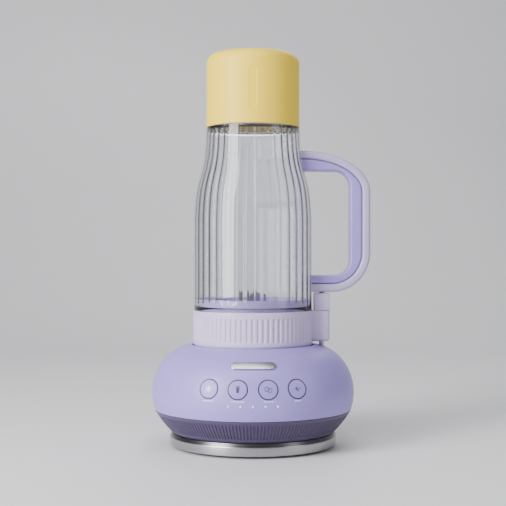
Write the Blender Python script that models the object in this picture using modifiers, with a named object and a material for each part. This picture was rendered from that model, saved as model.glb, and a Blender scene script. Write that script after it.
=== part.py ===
"""Countertop blender: a motor base, a lift-off blade base, a screw-on cup with a handle, and a lid.

Metres, +Z up. The front, with the buttons, faces -Y, and the handle is at +X. The origin is on the
table, under the middle of the whole object, so the turning axis stands a little to the left of it.
"""

from math import asin, atan2, cos, pi, radians, sin, sqrt, tanh

import bmesh
import bpy
from mathutils import Matrix

# ---------------------------------------------------------------- driving dimensions, metres

GAP = 0.0003  # seating and running clearance between neighbours
BASE_FACETS = 40  # facets around the motor base
CUP_FACETS = 36  # facets around the cup, blade base and lid
SMALL_FACETS = 16

DOME_RADIUS = 0.0805  # widest part of the motor base
DOME_WALL = 0.0024
BELLY_RISE = 0.0133  # from the shell's lower edge up to its widest point
CROWN_RISE = 0.0375  # from the widest point up to the crown
WELL_DEPTH = 0.0029
WELL_CLEARANCE = 0.0005
BOSS_RADIUS = 0.0040
BOSS_INSET = 0.0067  # from the well's wall out to the four screw bosses

FOOT_HEIGHT = 0.0023
FOOT_RADIUS = 0.0080
FOOT_PLACE = 0.0500
PLATE_THICKNESS = 0.0030
SCREW_RADIUS = 0.0011
SCREW_HEAD_RADIUS = 0.0026
SCREW_HEAD_HEIGHT = 0.0012
SCREW_LENGTH = 0.0120

RING_RADIUS = 0.0660
RING_WALL = 0.0036
RING_FLOAT = 0.0020  # the ring hangs this far above the table
RING_HEIGHT = 0.0096
RING_BEVEL = 0.0012
SKIRT_HEIGHT = 0.0175
SKIRT_WALL = 0.0020
SKIRT_FOOT_RADIUS = 0.0648
SKIRT_BULGE = 0.0008
SKIRT_SLOTS = 28
SKIRT_SLOT_WIDTH = 0.0080
SKIRT_MARGIN = 0.0026
SLOTLESS_BACK = radians(14)  # half the plain patch behind the cord inlet

BUTTON_RADIUS = 0.0072
BUTTON_TRAVEL = 0.0010
BUTTON_PROUD = 0.0003
BUTTON_HEIGHT = 0.0533
BUTTON_PITCH = radians(16.2)
LAMP_RADIUS = 0.00065
LAMP_HEIGHT = 0.0410
LAMP_PITCH = radians(6.6)
BOARD_CLEARANCE = 0.0015  # between the dome's wall and the board's upper edge
BOARD_RISE = 0.0087  # from the buttons up to the board's upper edge
SWITCH_HEIGHT = 0.0028
STEM_RADIUS = 0.0022
BOARD_THICKNESS = 0.0016
BADGE_WIDTH = 0.0335
BADGE_HEIGHT = 0.0068
BADGE_THICKNESS = 0.0009
BADGE_LEVEL = 0.0695

CORD_BORE = 0.0034
INLET_RADIUS = 0.0065
INLET_FLANGE = 0.0017

SHAFT_RADIUS = 0.0030
BEARING_RADIUS = 0.0080
BEARING_HEIGHT = 0.0050
ARMATURE_RADIUS = 0.0175
STATOR_RADIUS = 0.0330
STACK_HEIGHT = 0.0200
FAN_RADIUS = 0.0260
FAN_HEIGHT = 0.0070
FAN_CLEARANCE = 0.0034  # from the bottom plate up to the fan
FAN_BLADES = 9
COMMUTATOR_RADIUS = 0.0090
ARMATURE_SLOTS = 12
PILLAR_PLACE = 0.0310
PILLAR_RADIUS = 0.0030
SPLINE_RADIUS = 0.0090
SPLINE_LENGTH = 0.0070
SPLINE_TEETH = 6
SPLINE_CLEARANCE = 0.0004
COUPLER_RADIUS = 0.0130

COLLAR_RADIUS = 0.0478
COLLAR_HEIGHT = 0.0296
COLLAR_FILLET = 0.0050
COLLAR_WALL = 0.0015
THREAD_SPACE = 0.0013  # between a thread's two walls
LOWER_PITCH = 0.0065
LID_PITCH = 0.0080
THREAD_WIDTH = 0.0016
TAB_LENGTH = 0.0129
TAB_WIDTH = 0.0200
TAB_LOWER_RISE = 0.0051  # from the collar's underside up to the tab's
TAB_COVER_HEIGHT = 0.0136
TAB_CLEARANCE = 0.0009  # between the collar's outside and the tab's cover
TAB_WALL = 0.0018
ROD_RADIUS = 0.0020
PLUNGER_RADIUS = 0.0025
PRESS_TRAVEL = 0.0010

BLADE_SHAFT_RADIUS = 0.0035
BLADE_THICKNESS = 0.0015
UPPER_BLADE_REACH = 0.0290
LOWER_BLADE_REACH = 0.0330

JAR_STEP = 0.0008  # how far the cup stands in from the collar
JAR_WALL = 0.0028
JAR_MOUTH_RADIUS = 0.0372
LOWER_NECK_WALL = 0.0022
LOWER_NECK_LENGTH = 0.0102
STRAIGHT_HEIGHT = 0.0722
SHOULDER_HEIGHT = 0.0728
NECK_HEIGHT = 0.0157
NECK_WALL = 0.0025
SEAL_HEIGHT = 0.0011
SEAL_MARGIN = 0.0002  # the cup's seal is this much narrower than its neck, at each side
PLATFORM_FLANGE = 0.0012
WEB_THICKNESS = 0.0024

LID_RADIUS = 0.0371
LID_WALL = 0.0018
LID_HEIGHT = 0.0584
LID_CORNER = 0.0080
LINER_WALL = 0.0013
LINER_CLEARANCE = 0.0004

HANDLE_REACH = 0.0930
HANDLE_DEPTH = 0.0210
HANDLE_THICKNESS = 0.0160
HANDLE_HEIGHT = 0.1120
HANDLE_RISE = 0.0144  # from the cup's foot up to the handle
GRIP_THICKNESS = 0.0064
LOWER_ARM_THICKNESS = 0.0132
HANDLE_EDGE = 0.0014

# ---------------------------------------------------------------- sizes that follow from them

AXIS_X = (DOME_RADIUS - HANDLE_REACH) / 2

PLATE_Z = FOOT_HEIGHT + GAP
PLATE_TOP = PLATE_Z + PLATE_THICKNESS
FAN_BOTTOM = PLATE_TOP + FAN_CLEARANCE
RING_TOP = RING_FLOAT + RING_HEIGHT
SKIRT_BOTTOM = RING_TOP + GAP
SKIRT_TOP = SKIRT_BOTTOM + SKIRT_HEIGHT
SHELL_BOTTOM = SKIRT_TOP + GAP
INLET_HEIGHT = (SKIRT_BOTTOM + SKIRT_TOP) / 2
BELLY_Z = SHELL_BOTTOM + BELLY_RISE
CROWN_Z = BELLY_Z + CROWN_RISE
CROWN_RADIUS = COLLAR_RADIUS - 0.0018
DOME_SWELL = DOME_RADIUS - CROWN_RADIUS
WELL_RADIUS = COLLAR_RADIUS + WELL_CLEARANCE
BOSS_PLACE = WELL_RADIUS + BOSS_INSET
WELL_FLOOR = CROWN_Z - WELL_DEPTH
FLOOR_UNDERSIDE = WELL_FLOOR - DOME_WALL

COLLAR_BOTTOM = WELL_FLOOR + GAP
COLLAR_TOP = COLLAR_BOTTOM + COLLAR_HEIGHT
COLLAR_BORE = COLLAR_RADIUS - COLLAR_WALL
JAR_FOOT = COLLAR_TOP + GAP
JAR_RADIUS = COLLAR_RADIUS - JAR_STEP
LOWER_NECK_RADIUS = COLLAR_BORE - THREAD_SPACE
LOWER_NECK_BORE = LOWER_NECK_RADIUS - LOWER_NECK_WALL
LOWER_NECK_END = JAR_FOOT - LOWER_NECK_LENGTH
PLATFORM_BOTTOM = LOWER_NECK_END - SEAL_HEIGHT - 2 * GAP - PLATFORM_FLANGE
WEB_TOP = PLATFORM_BOTTOM - GAP
WEB_BOTTOM = WEB_TOP - WEB_THICKNESS

JAR_SHOULDER = JAR_FOOT + STRAIGHT_HEIGHT
JAR_MOUTH = JAR_SHOULDER + SHOULDER_HEIGHT
NECK_TOP = JAR_MOUTH + NECK_HEIGHT
LID_BOTTOM = JAR_MOUTH + GAP
LID_TOP = LID_BOTTOM + LID_HEIGHT
LINER_RADIUS = LID_RADIUS - LID_WALL - LINER_CLEARANCE
LINER_BORE = LINER_RADIUS - LINER_WALL
NECK_RADIUS = LINER_BORE - THREAD_SPACE + 0.0002
NECK_BORE = NECK_RADIUS - NECK_WALL

HANDLE_BOTTOM = JAR_FOOT + HANDLE_RISE
HANDLE_TOP = HANDLE_BOTTOM + HANDLE_HEIGHT
TAB_NEAR = COLLAR_RADIUS + TAB_CLEARANCE
TAB_REACH = COLLAR_RADIUS + TAB_LENGTH
TAB_MIDDLE = (TAB_NEAR + TAB_REACH) / 2
TAB_BOTTOM = COLLAR_BOTTOM + TAB_LOWER_RISE
TAB_COVER_TOP = COLLAR_TOP + TAB_COVER_HEIGHT

FRONT = -pi / 2
BUTTON_NAMES = ("crush_button", "smoothie_button", "mix_button", "pulse_button")

FINISHES = {  # base colour, roughness, metallic
    "lavender_plastic": ((0.440, 0.413, 0.597), 0.42, 0.0),
    "purple_skirt_plastic": ((0.087, 0.069, 0.147), 0.50, 0.0),
    "pale_collar_plastic": ((0.686, 0.658, 0.745), 0.40, 0.0),
    "handle_plastic": ((0.418, 0.392, 0.584), 0.45, 0.0),
    "grip_plastic": ((0.509, 0.491, 0.604), 0.50, 0.0),
    "platform_plastic": ((0.402, 0.305, 0.578), 0.35, 0.0),
    "yellow_plastic": ((0.871, 0.723, 0.361), 0.45, 0.0),
    "clear_plastic": ((0.900, 0.930, 0.950), 0.08, 0.0),
    "white_plastic": ((0.850, 0.850, 0.850), 0.35, 0.0),
    "black_plastic": ((0.030, 0.030, 0.032), 0.50, 0.0),
    "brushed_silver": ((0.600, 0.590, 0.620), 0.30, 1.0),
    "steel": ((0.550, 0.550, 0.560), 0.25, 1.0),
    "copper": ((0.720, 0.320, 0.150), 0.35, 1.0),
    "laminated_iron": ((0.230, 0.230, 0.240), 0.55, 1.0),
    "board_green": ((0.030, 0.160, 0.070), 0.50, 0.0),
    "rubber": ((0.050, 0.050, 0.055), 0.80, 0.0),
    "silicone": ((0.720, 0.700, 0.760), 0.60, 0.0),
}

# ---------------------------------------------------------------- scene and mesh helpers


def clear_scene():
    for obj in list(bpy.data.objects):
        bpy.data.objects.remove(obj, do_unlink=True)


def new_collection(name):
    found = bpy.data.collections.new(name)
    bpy.context.scene.collection.children.link(found)
    return found


def finish(name):
    """The Principled material of this finish, made the first time that it is asked for."""
    if name in bpy.data.materials:
        return bpy.data.materials[name]
    colour, roughness, metallic = FINISHES[name]
    material = bpy.data.materials.new(name)
    material.use_nodes = True
    shader = material.node_tree.nodes["Principled BSDF"]
    shader.inputs["Base Color"].default_value = (*colour, 1.0)
    shader.inputs["Roughness"].default_value = roughness
    shader.inputs["Metallic"].default_value = metallic
    if name == "clear_plastic":
        shader.inputs["Transmission Weight"].default_value = 1.0
    return material


def add(name, mesh, parent, finish_name=None):
    """Puts a mesh in the model or, when it has no finish, among the helpers that cut and join."""
    obj = bpy.data.objects.new(name, mesh)
    obj.parent = parent
    if finish_name:
        PARTS.objects.link(obj)
        mesh.materials.append(finish(finish_name))
    else:
        HELPERS.objects.link(obj)
        obj.hide_render = True
        obj.display_type = "WIRE"
    return obj


def axis_empty(name, parent=None, matrix=None):
    """An empty that stands on a joint's axis and carries the pieces that turn or slide on it."""
    found = bpy.data.objects.new(name, None)
    PARTS.objects.link(found)
    found.parent = parent
    found.matrix_local = matrix or Matrix()
    return found


def smooth(mesh):
    mesh.shade_smooth()
    mesh.set_sharp_from_angle(angle=radians(35))


def solid(name, bm, parent, finish_name=None):
    """Closes off a bmesh of whole bodies as one object."""
    bmesh.ops.recalc_face_normals(bm, faces=bm.faces)
    mesh = bpy.data.meshes.new(name)
    bm.to_mesh(mesh)
    bm.free()
    smooth(mesh)
    return add(name, mesh, parent, finish_name)


def turned(name, profile, parent, finish_name=None, facets=SMALL_FACETS):
    """Turns an outline of (radius, height) points about Z. It runs down its outer side and back up
    its inner one; an outline that starts and ends on the axis is left open there."""
    count = len(profile)
    on_axis = profile[0][0] == 0 and profile[-1][0] == 0
    edges = [(i, (i + 1) % count) for i in range(count - 1 if on_axis else count)]
    mesh = bpy.data.meshes.new(name)
    mesh.from_pydata([(radius, 0, height) for radius, height in profile], edges, [])
    obj = add(name, mesh, parent, finish_name)
    screw = obj.modifiers.new("turn", "SCREW")
    screw.steps = screw.render_steps = facets
    screw.use_merge_vertices = True
    screw.merge_threshold = 1e-5
    screw.use_smooth_shade = True
    return obj


def sleeve(name, inner, outer, low, high, parent, finish_name=None, facets=SMALL_FACETS):
    profile = [(inner, high), (outer, high), (outer, low), (inner, low)]
    return turned(name, profile, parent, finish_name, facets)


def around(radius, angle):
    """A place at this radius and angle about Z, with X pointing outwards."""
    return Matrix.Rotation(angle, 4, "Z") @ Matrix.Translation((radius, 0, 0))


def add_rod(bm, radius, low, high, place=None, facets=12):
    centre = Matrix.Translation((0, 0, (low + high) / 2))
    bmesh.ops.create_cone(
        bm,
        cap_ends=True,
        segments=facets,
        radius1=radius,
        radius2=radius,
        depth=high - low,
        matrix=(place or Matrix()) @ centre,
    )


def rods(name, radius, low, high, places, parent, finish_name=None, facets=12):
    bm = bmesh.new()
    for place in places:
        add_rod(bm, radius, low, high, place, facets)
    return solid(name, bm, parent, finish_name)


def add_box(bm, low, high, place=None):
    """A box between two corners."""
    size = [b - a for a, b in zip(low, high)]
    centre = [(a + b) / 2 for a, b in zip(low, high)]
    scale = Matrix.Diagonal((*size, 1))
    matrix = (place or Matrix()) @ Matrix.Translation(centre) @ scale
    bmesh.ops.create_cube(bm, size=1, matrix=matrix)


def boxes(name, corners, places, parent, finish_name=None):
    bm = bmesh.new()
    for place in places:
        add_box(bm, *corners, place)
    return solid(name, bm, parent, finish_name)


def extruded(name, outline, depth, place, parent, finish_name=None):
    """A flat outline in the XY plane of its place, given a thickness along that plane's Z."""
    bm = bmesh.new()
    face = bm.faces.new([bm.verts.new((x, y, 0)) for x, y in outline])
    grown = bmesh.ops.extrude_face_region(bm, geom=[face])["geom"]
    moved = [v for v in grown if isinstance(v, bmesh.types.BMVert)]
    bmesh.ops.translate(bm, vec=(0, 0, depth), verts=moved)
    bmesh.ops.transform(bm, matrix=place, verts=bm.verts)
    return solid(name, bm, parent, finish_name)


def sheet(name, points, thickness, parent, finish_name=None):
    """A shell on a grid of points, given row by row. It is thickened towards the side from which
    the rows, and then the columns, turn anticlockwise."""
    bm = bmesh.new()
    verts = [[bm.verts.new(point) for point in row] for row in points]
    for below, above in zip(verts, verts[1:]):
        for j in range(len(below) - 1):
            bm.faces.new((below[j], below[j + 1], above[j + 1], above[j]))
    mesh = bpy.data.meshes.new(name)
    bm.to_mesh(mesh)
    bm.free()
    smooth(mesh)
    obj = add(name, mesh, parent, finish_name)
    shell = obj.modifiers.new("thickness", "SOLIDIFY")
    shell.thickness = thickness
    shell.offset = 1
    shell.use_even_offset = True
    return obj


def band(name, radius, low, high, half_angle, thickness, parent, finish_name=None, columns=12):
    """An upright strip bent about Z, its middle at the front; it thickens outwards."""
    angles = [FRONT - half_angle + 2 * half_angle * j / columns for j in range(columns + 1)]
    points = [[(radius * cos(a), radius * sin(a), z) for a in angles] for z in (low, high)]
    return sheet(name, points, thickness, parent, finish_name)


def boolean(target, helper, operation):
    modifier = target.modifiers.new(helper.name, "BOOLEAN")
    modifier.operation = operation
    modifier.object = helper
    modifier.solver = "EXACT"


def cut(target, *helpers):
    for helper in helpers:
        boolean(target, helper, "DIFFERENCE")


def join(target, *helpers):
    for helper in helpers:
        boolean(target, helper, "UNION")


def round_edges(obj, width, segments=2):
    edge = obj.modifiers.new("round_edges", "BEVEL")
    edge.width = width
    edge.segments = segments
    edge.limit_method = "ANGLE"
    edge.angle_limit = radians(40)
    return obj


def quarter(centre, half_size, start, steps):
    """A quarter of an ellipse, clockwise from the start angle, both ends included."""
    angles = [start - pi / 2 * i / steps for i in range(steps + 1)]
    return [(centre[0] + half_size[0] * cos(a), centre[1] + half_size[1] * sin(a)) for a in angles]


def helix(name, root, crest, low, pitch, start, parent, facets=CUP_FACETS):
    """One turn of thread: a ridge from the root radius, inside the wall, to its crest. Its corners
    fall between the wall's, so that no edges coincide."""
    bm = bmesh.new()
    sections = []
    for i in range(facets + 1):
        angle = start + 2 * pi * (i + 0.5) / facets
        height = low + pitch * i / facets
        corners = (
            (root, height - THREAD_WIDTH),
            (crest, height - THREAD_WIDTH / 3),
            (crest, height + THREAD_WIDTH / 3),
            (root, height + THREAD_WIDTH),
        )
        sections.append([bm.verts.new((r * cos(angle), r * sin(angle), z)) for r, z in corners])
    for a, b in zip(sections, sections[1:]):
        for i in range(4):
            bm.faces.new((a[i], a[(i + 1) % 4], b[(i + 1) % 4], b[i]))
    bm.faces.new(sections[0])
    bm.faces.new(sections[-1])
    return solid(name, bm, parent)


# ---------------------------------------------------------------- the dome's surface


def dome_point(azimuth, rise, lift=0.0):
    """A point on the dome, or lifted off it: rise is the angle up its elliptical section."""
    lean = atan2(DOME_SWELL * sin(rise), CROWN_RISE * cos(rise))
    radius = CROWN_RADIUS + DOME_SWELL * cos(rise) + lift * cos(lean)
    height = BELLY_Z + CROWN_RISE * sin(rise) + lift * sin(lean)
    return (radius * sin(azimuth), -radius * cos(azimuth), height)


def dome_rise(height):
    return asin((height - BELLY_Z) / CROWN_RISE)


def dome_inner_radius(height):
    rise = asin((height - BELLY_Z) / (CROWN_RISE - DOME_WALL))
    return CROWN_RADIUS + (DOME_SWELL - DOME_WALL) * cos(rise)


def dome_frame(azimuth, height):
    """A frame on the dome: Z points straight out of the surface, Y up along it, X around it."""
    rise = dome_rise(height)
    lean = atan2(DOME_SWELL * sin(rise), CROWN_RISE * cos(rise))
    turn = Matrix.Rotation(azimuth, 4, "Z")
    tip = Matrix.Rotation(pi / 2 - lean, 4, "X")
    return turn @ Matrix.Translation((0, -dome_surface_radius(height), height)) @ tip


def dome_surface_radius(height):
    return CROWN_RADIUS + DOME_SWELL * cos(dome_rise(height))


def button_azimuths():
    return [(i - 1.5) * BUTTON_PITCH for i in range(4)]


def lamp_azimuths():
    return [(i - 2) * LAMP_PITCH for i in range(5)]


def corner_angles():
    return [pi / 4 + pi / 2 * i for i in range(4)]


# ---------------------------------------------------------------- motor base: casing


def base_shell(base):
    """The dome, with its well, screw bosses, plunger guide, and holes for buttons and lamps."""
    steps = 8
    well_rim = dome_rise_at(WELL_RADIUS + 0.0004)
    lowest = dome_rise(SHELL_BOTTOM)
    outer = [well_rim + (lowest - well_rim) * i / steps for i in range(steps + 1)]
    inner_top = WELL_RADIUS + DOME_WALL
    swell, rise = DOME_SWELL - DOME_WALL, CROWN_RISE - DOME_WALL
    low = asin((SHELL_BOTTOM - BELLY_Z) / rise)
    high = pi / 2 - asin((inner_top - CROWN_RADIUS) / swell)
    inner = [low + (high - low) * i / 5 for i in range(6)]
    hole = SHAFT_RADIUS + 0.0035
    profile = [(hole, WELL_FLOOR), (WELL_RADIUS, WELL_FLOOR)]
    profile += [(WELL_RADIUS, CROWN_Z - 0.0007)]
    profile += [(CROWN_RADIUS + DOME_SWELL * cos(a), BELLY_Z + CROWN_RISE * sin(a)) for a in outer]
    profile += [(CROWN_RADIUS + swell * cos(a), BELLY_Z + rise * sin(a)) for a in inner]
    profile += [(inner_top, FLOOR_UNDERSIDE), (hole, FLOOR_UNDERSIDE)]
    shell = turned("base_shell", profile, base, "lavender_plastic", BASE_FACETS)

    boss_top = BELLY_Z + CROWN_RISE * sin(dome_rise_at(BOSS_PLACE + BOSS_RADIUS)) - 0.0006
    corners = [around(BOSS_PLACE, angle) for angle in corner_angles()]
    bosses = rods("boss_posts", BOSS_RADIUS, PLATE_TOP + GAP, boss_top, corners, base)
    guide_radius = PLUNGER_RADIUS + 0.0022
    guide_top = BELLY_Z + CROWN_RISE * sin(dome_rise_at(TAB_MIDDLE + guide_radius)) - 0.0006
    guide_low = CROWN_Z - 0.0185
    tab_place = [around(TAB_MIDDLE, 0)]
    guide = rods("plunger_guide", guide_radius, guide_low, guide_top, tab_place, base)
    join(shell, bosses, guide)

    pilot = rods("boss_pilots", SCREW_RADIUS + GAP, PLATE_Z, PLATE_TOP + SCREW_LENGTH, corners, base)
    places = [dome_frame(a, BUTTON_HEIGHT) for a in button_azimuths()]
    holes = rods("button_holes", BUTTON_RADIUS + 0.0004, -0.006, 0.003, places, base, facets=SMALL_FACETS)
    places = [dome_frame(a, LAMP_HEIGHT) for a in lamp_azimuths()]
    lamps = rods("lamp_holes", LAMP_RADIUS + GAP, -0.006, 0.003, places, base, facets=12)
    bore = rods("plunger_bore", PLUNGER_RADIUS + GAP, guide_low - 0.002, CROWN_Z, tab_place, base)
    cut(shell, pilot, holes, lamps, bore)
    return shell


def dome_rise_at(radius):
    """The angle up the dome's section at which its crown side has this radius."""
    return pi / 2 - asin((radius - CROWN_RADIUS) / DOME_SWELL)


def skirt_radius(height):
    """The skirt's outer radius: a straight taper with a slight bulge."""
    share = (height - SKIRT_BOTTOM) / SKIRT_HEIGHT
    top = dome_surface_radius(SHELL_BOTTOM)
    return SKIRT_FOOT_RADIUS + (top - SKIRT_FOOT_RADIUS) * share + SKIRT_BULGE * sin(pi * share)


def vent_skirt(base):
    """The slotted skirt under the dome. A plain patch at the back carries the cord inlet."""
    steps = 3
    heights = [SKIRT_TOP - SKIRT_HEIGHT * i / steps for i in range(steps + 1)]
    outer = [(skirt_radius(z), z) for z in heights]
    inner = [(radius - SKIRT_WALL, z) for radius, z in reversed(outer)]
    skirt = turned("vent_skirt", outer + inner, base, "purple_skirt_plastic", BASE_FACETS)
    turns = [2 * pi * (i + 0.5) / SKIRT_SLOTS for i in range(SKIRT_SLOTS)]
    open_turns = [turn for turn in turns if abs(turn - pi / 2) > SLOTLESS_BACK]
    low = (SKIRT_FOOT_RADIUS - 0.010, -SKIRT_SLOT_WIDTH / 2, SKIRT_BOTTOM + SKIRT_MARGIN)
    high = (DOME_RADIUS + 0.005, SKIRT_SLOT_WIDTH / 2, SKIRT_TOP - SKIRT_MARGIN)
    places = [Matrix.Rotation(turn, 4, "Z") for turn in open_turns]
    slots = boxes("skirt_slots", (low, high), places, base)
    cut(skirt, slots, inlet_rod("inlet_hole", INLET_RADIUS + GAP, 0.055, 0.085, base))
    return skirt


def inlet_rod(name, radius, near, far, base):
    """A cylinder along +Y at the cord inlet."""
    place = Matrix.Translation((0, 0, INLET_HEIGHT)) @ Matrix.Rotation(-pi / 2, 4, "X")
    return rods(name, radius, near, far, [place], base, facets=SMALL_FACETS)


def cord_inlet(base):
    """The gland in the back of the skirt: a flanged sleeve with its bore open."""
    place = Matrix.Translation((0, 0, INLET_HEIGHT)) @ Matrix.Rotation(-pi / 2, 4, "X")
    seat = axis_empty("inlet_axis", base, place)
    face = skirt_radius(INLET_HEIGHT + INLET_RADIUS) + 0.0004
    flange = INLET_RADIUS + INLET_FLANGE
    inner = face - 0.0160
    profile = [
        (CORD_BORE, face + 0.0024),
        (flange - 0.0010, face + 0.0024),
        (flange, face + 0.0014),
        (flange, face + 0.0006),
        (INLET_RADIUS, face + 0.0006),
        (INLET_RADIUS, inner),
        (CORD_BORE, inner),
    ]
    return turned("cord_inlet", profile, seat, "black_plastic")


def base_ring(base):
    profile = [
        (RING_RADIUS - RING_WALL, RING_TOP),
        (RING_RADIUS - RING_BEVEL, RING_TOP),
        (RING_RADIUS, RING_TOP - 0.0029),
        (RING_RADIUS, RING_FLOAT + 0.0004),
        (RING_RADIUS - 0.0004, RING_FLOAT),
        (RING_RADIUS - RING_WALL, RING_FLOAT),
    ]
    return turned("base_ring", profile, base, "brushed_silver", BASE_FACETS)


def bottom_plate(base):
    """The disc inside the ring, with vents, counterbored screw holes and the motor's pillars."""
    radius = RING_RADIUS - RING_WALL - GAP
    plate = rods("bottom_plate", radius, PLATE_Z, PLATE_TOP, [Matrix()], base, "black_plastic", BASE_FACETS)
    pillar_places = [around(PILLAR_PLACE, angle) for angle in corner_angles()]
    pillar_top = bracket_floor() - GAP
    pillars = rods("plate_pillars", PILLAR_RADIUS, PLATE_Z + 0.001, pillar_top, pillar_places, base)
    join(plate, pillars)
    corners = [around(BOSS_PLACE, angle) for angle in corner_angles()]
    head_top = PLATE_Z + GAP + SCREW_HEAD_HEIGHT + GAP
    sinks = rods("screw_sinks", SCREW_HEAD_RADIUS + GAP, 0, head_top, corners, base)
    holes = rods("screw_holes", SCREW_RADIUS + GAP, 0, 0.01, corners, base)
    slots = [Matrix.Rotation(2 * pi * i / 8, 4, "Z") for i in range(8)]
    vents = boxes("plate_vents", ((0.010, -0.0012, 0), (0.024, 0.0012, 0.01)), slots, base)
    cut(plate, sinks, holes, vents)
    return plate


def feet(base):
    for i in range(4):
        place = [around(FOOT_PLACE, pi / 2 * i)]
        rods(f"foot_{i + 1}", FOOT_RADIUS, 0, FOOT_HEIGHT, place, base, "rubber", SMALL_FACETS)


def base_screws(base):
    """Four pan-head screws that hold the bottom plate to the bosses."""
    head = PLATE_Z + GAP
    profile = [
        (0, PLATE_TOP + SCREW_LENGTH - 0.001),
        (SCREW_RADIUS, PLATE_TOP + SCREW_LENGTH - 0.001),
        (SCREW_RADIUS, head + SCREW_HEAD_HEIGHT),
        (SCREW_HEAD_RADIUS, head + SCREW_HEAD_HEIGHT),
        (SCREW_HEAD_RADIUS, head),
        (0, head),
    ]
    for i, angle in enumerate(corner_angles()):
        place = axis_empty(f"screw_axis_{i + 1}", base, around(BOSS_PLACE, angle))
        turned(f"base_screw_{i + 1}", profile, place, "steel", 12)


# ---------------------------------------------------------------- motor base: controls


def badge(base):
    """A pill-shaped plate that follows the dome, just proud of it."""
    middle = dome_rise(BADGE_LEVEL)
    half_up = BADGE_HEIGHT / 2
    half_wide = BADGE_WIDTH / 2
    slope = sqrt((DOME_SWELL * sin(middle)) ** 2 + (CROWN_RISE * cos(middle)) ** 2)
    points = []
    for i in range(7):
        up = sin(pi / 2 * (i / 3 - 1)) * half_up
        reach = half_wide - half_up + sqrt(max(half_up**2 - up**2, 1e-8))
        row = []
        for j in range(17):
            azimuth = reach * (j / 8 - 1) / dome_surface_radius(BADGE_LEVEL)
            row.append(dome_point(azimuth, middle + up / slope, GAP + 0.0001))
        points.append(row)
    return sheet("badge", points, BADGE_THICKNESS, base, "brushed_silver")


def buttons(base):
    """Each cap slides along its own axis, with a stem that reaches in to its switch."""
    profile = [
        (0, BUTTON_PROUD),
        (BUTTON_RADIUS - 0.0004, BUTTON_PROUD),
        (BUTTON_RADIUS, BUTTON_PROUD - 0.0004),
        (BUTTON_RADIUS, -DOME_WALL),
        (STEM_RADIUS, -DOME_WALL),
        (STEM_RADIUS, switch_top() + BUTTON_TRAVEL + GAP),
        (0, switch_top() + BUTTON_TRAVEL + GAP),
    ]
    for name, azimuth in zip(BUTTON_NAMES, button_azimuths()):
        place = axis_empty(name + "_axis", base, dome_frame(azimuth, BUTTON_HEIGHT))
        turned(name, profile, place, "lavender_plastic")


def board_radius():
    """The board stands just clear of the dome's wall at its upper edge."""
    return dome_inner_radius(BUTTON_HEIGHT + BOARD_RISE) - BOARD_CLEARANCE


def switch_top():
    """How deep the switches' tops lie under the dome's surface, along a button's axis."""
    return board_radius() - dome_surface_radius(BUTTON_HEIGHT) + 0.0017


def control_board(base):
    """A curved carrier behind the buttons, with four switches and an end rib at each side."""
    low, high = LAMP_HEIGHT - 0.003, BUTTON_HEIGHT + BOARD_RISE
    half = 2.25 * BUTTON_PITCH
    inner = board_radius() - BOARD_THICKNESS
    board = band("control_board", inner, low, high, half, BOARD_THICKNESS, base, "board_green", 16)
    places = [dome_frame(a, BUTTON_HEIGHT) for a in button_azimuths()]
    sunk = switch_top() - SWITCH_HEIGHT
    size = ((-0.003, -0.003, sunk), (0.003, 0.003, switch_top()))
    switches = boxes("switches", size, places, base)
    rib_top = BUTTON_HEIGHT + 0.0027
    reach = dome_inner_radius(rib_top) - 0.0006
    ends = [Matrix.Rotation(FRONT + side * (half - radians(2)), 4, "Z") for side in (-1, 1)]
    rib_size = ((board_radius() - 0.0010, -0.0010, rib_top - 0.006), (reach, 0.0010, rib_top))
    join(board, switches, boxes("board_ribs", rib_size, ends, base))
    return board


def light_pipe(base):
    """A bar on the board with five short posts that end flush in the dome's lamp holes."""
    low, high = LAMP_HEIGHT - 0.0016, LAMP_HEIGHT + 0.0016
    near = board_radius() + GAP
    pipe = band("light_pipe", near, low, high, 2.45 * LAMP_PITCH, 0.002, base, "white_plastic")
    deep = board_radius() - dome_surface_radius(LAMP_HEIGHT) + 0.0012
    places = [dome_frame(a, LAMP_HEIGHT) for a in lamp_azimuths()]
    join(pipe, rods("lamp_posts", LAMP_RADIUS, deep, 0.0001, places, base, facets=12))
    return pipe


def power_board(base):
    """An upright circuit board behind the motor, with a capacitor and a choke."""
    near = STATOR_RADIUS + 0.009
    bottom = PLATE_TOP + GAP
    size = ((-0.020, near, bottom), (0.020, near + 0.0016, bottom + 0.036))
    board = boxes("power_board", size, [Matrix()], base, "board_green")
    facing = Matrix.Translation((-0.009, near, bottom + 0.022)) @ Matrix.Rotation(-pi / 2, 4, "X")
    can = rods("capacitor", 0.005, 0.0008, 0.012, [facing], base, facets=16)
    choke_size = ((0.004, near + 0.0008, bottom + 0.014), (0.015, near + 0.009, bottom + 0.027))
    join(board, can, boxes("choke", choke_size, [Matrix()], base))
    return board


# ---------------------------------------------------------------- motor

def bracket_floor():
    """The underside of the lower bracket's disc."""
    return FAN_BOTTOM + FAN_HEIGHT + 0.0042


def stack_bottom():
    return bracket_floor() + 0.0150


def lower_bracket(base):
    """Stands on the plate's pillars, holds the lower bearing and lifts the stator."""
    floor = bracket_floor()
    hub = BEARING_RADIUS + 0.0030
    bore = BEARING_RADIUS + GAP
    rim = STATOR_RADIUS - 0.0055
    profile = [
        (bore, floor + 0.0035),
        (hub, floor + 0.0035),
        (hub, floor + 0.0025),
        (rim, floor + 0.0025),
        (rim, stack_bottom() - GAP),
        (STATOR_RADIUS, stack_bottom() - GAP),
        (STATOR_RADIUS, floor),
        (hub, floor),
        (hub, floor - 0.0020),
        (SHAFT_RADIUS + 0.0015, floor - 0.0020),
        (SHAFT_RADIUS + 0.0015, floor - 0.0010),
        (bore, floor - 0.0010),
    ]
    return turned("lower_bracket", profile, base, "laminated_iron")


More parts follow.
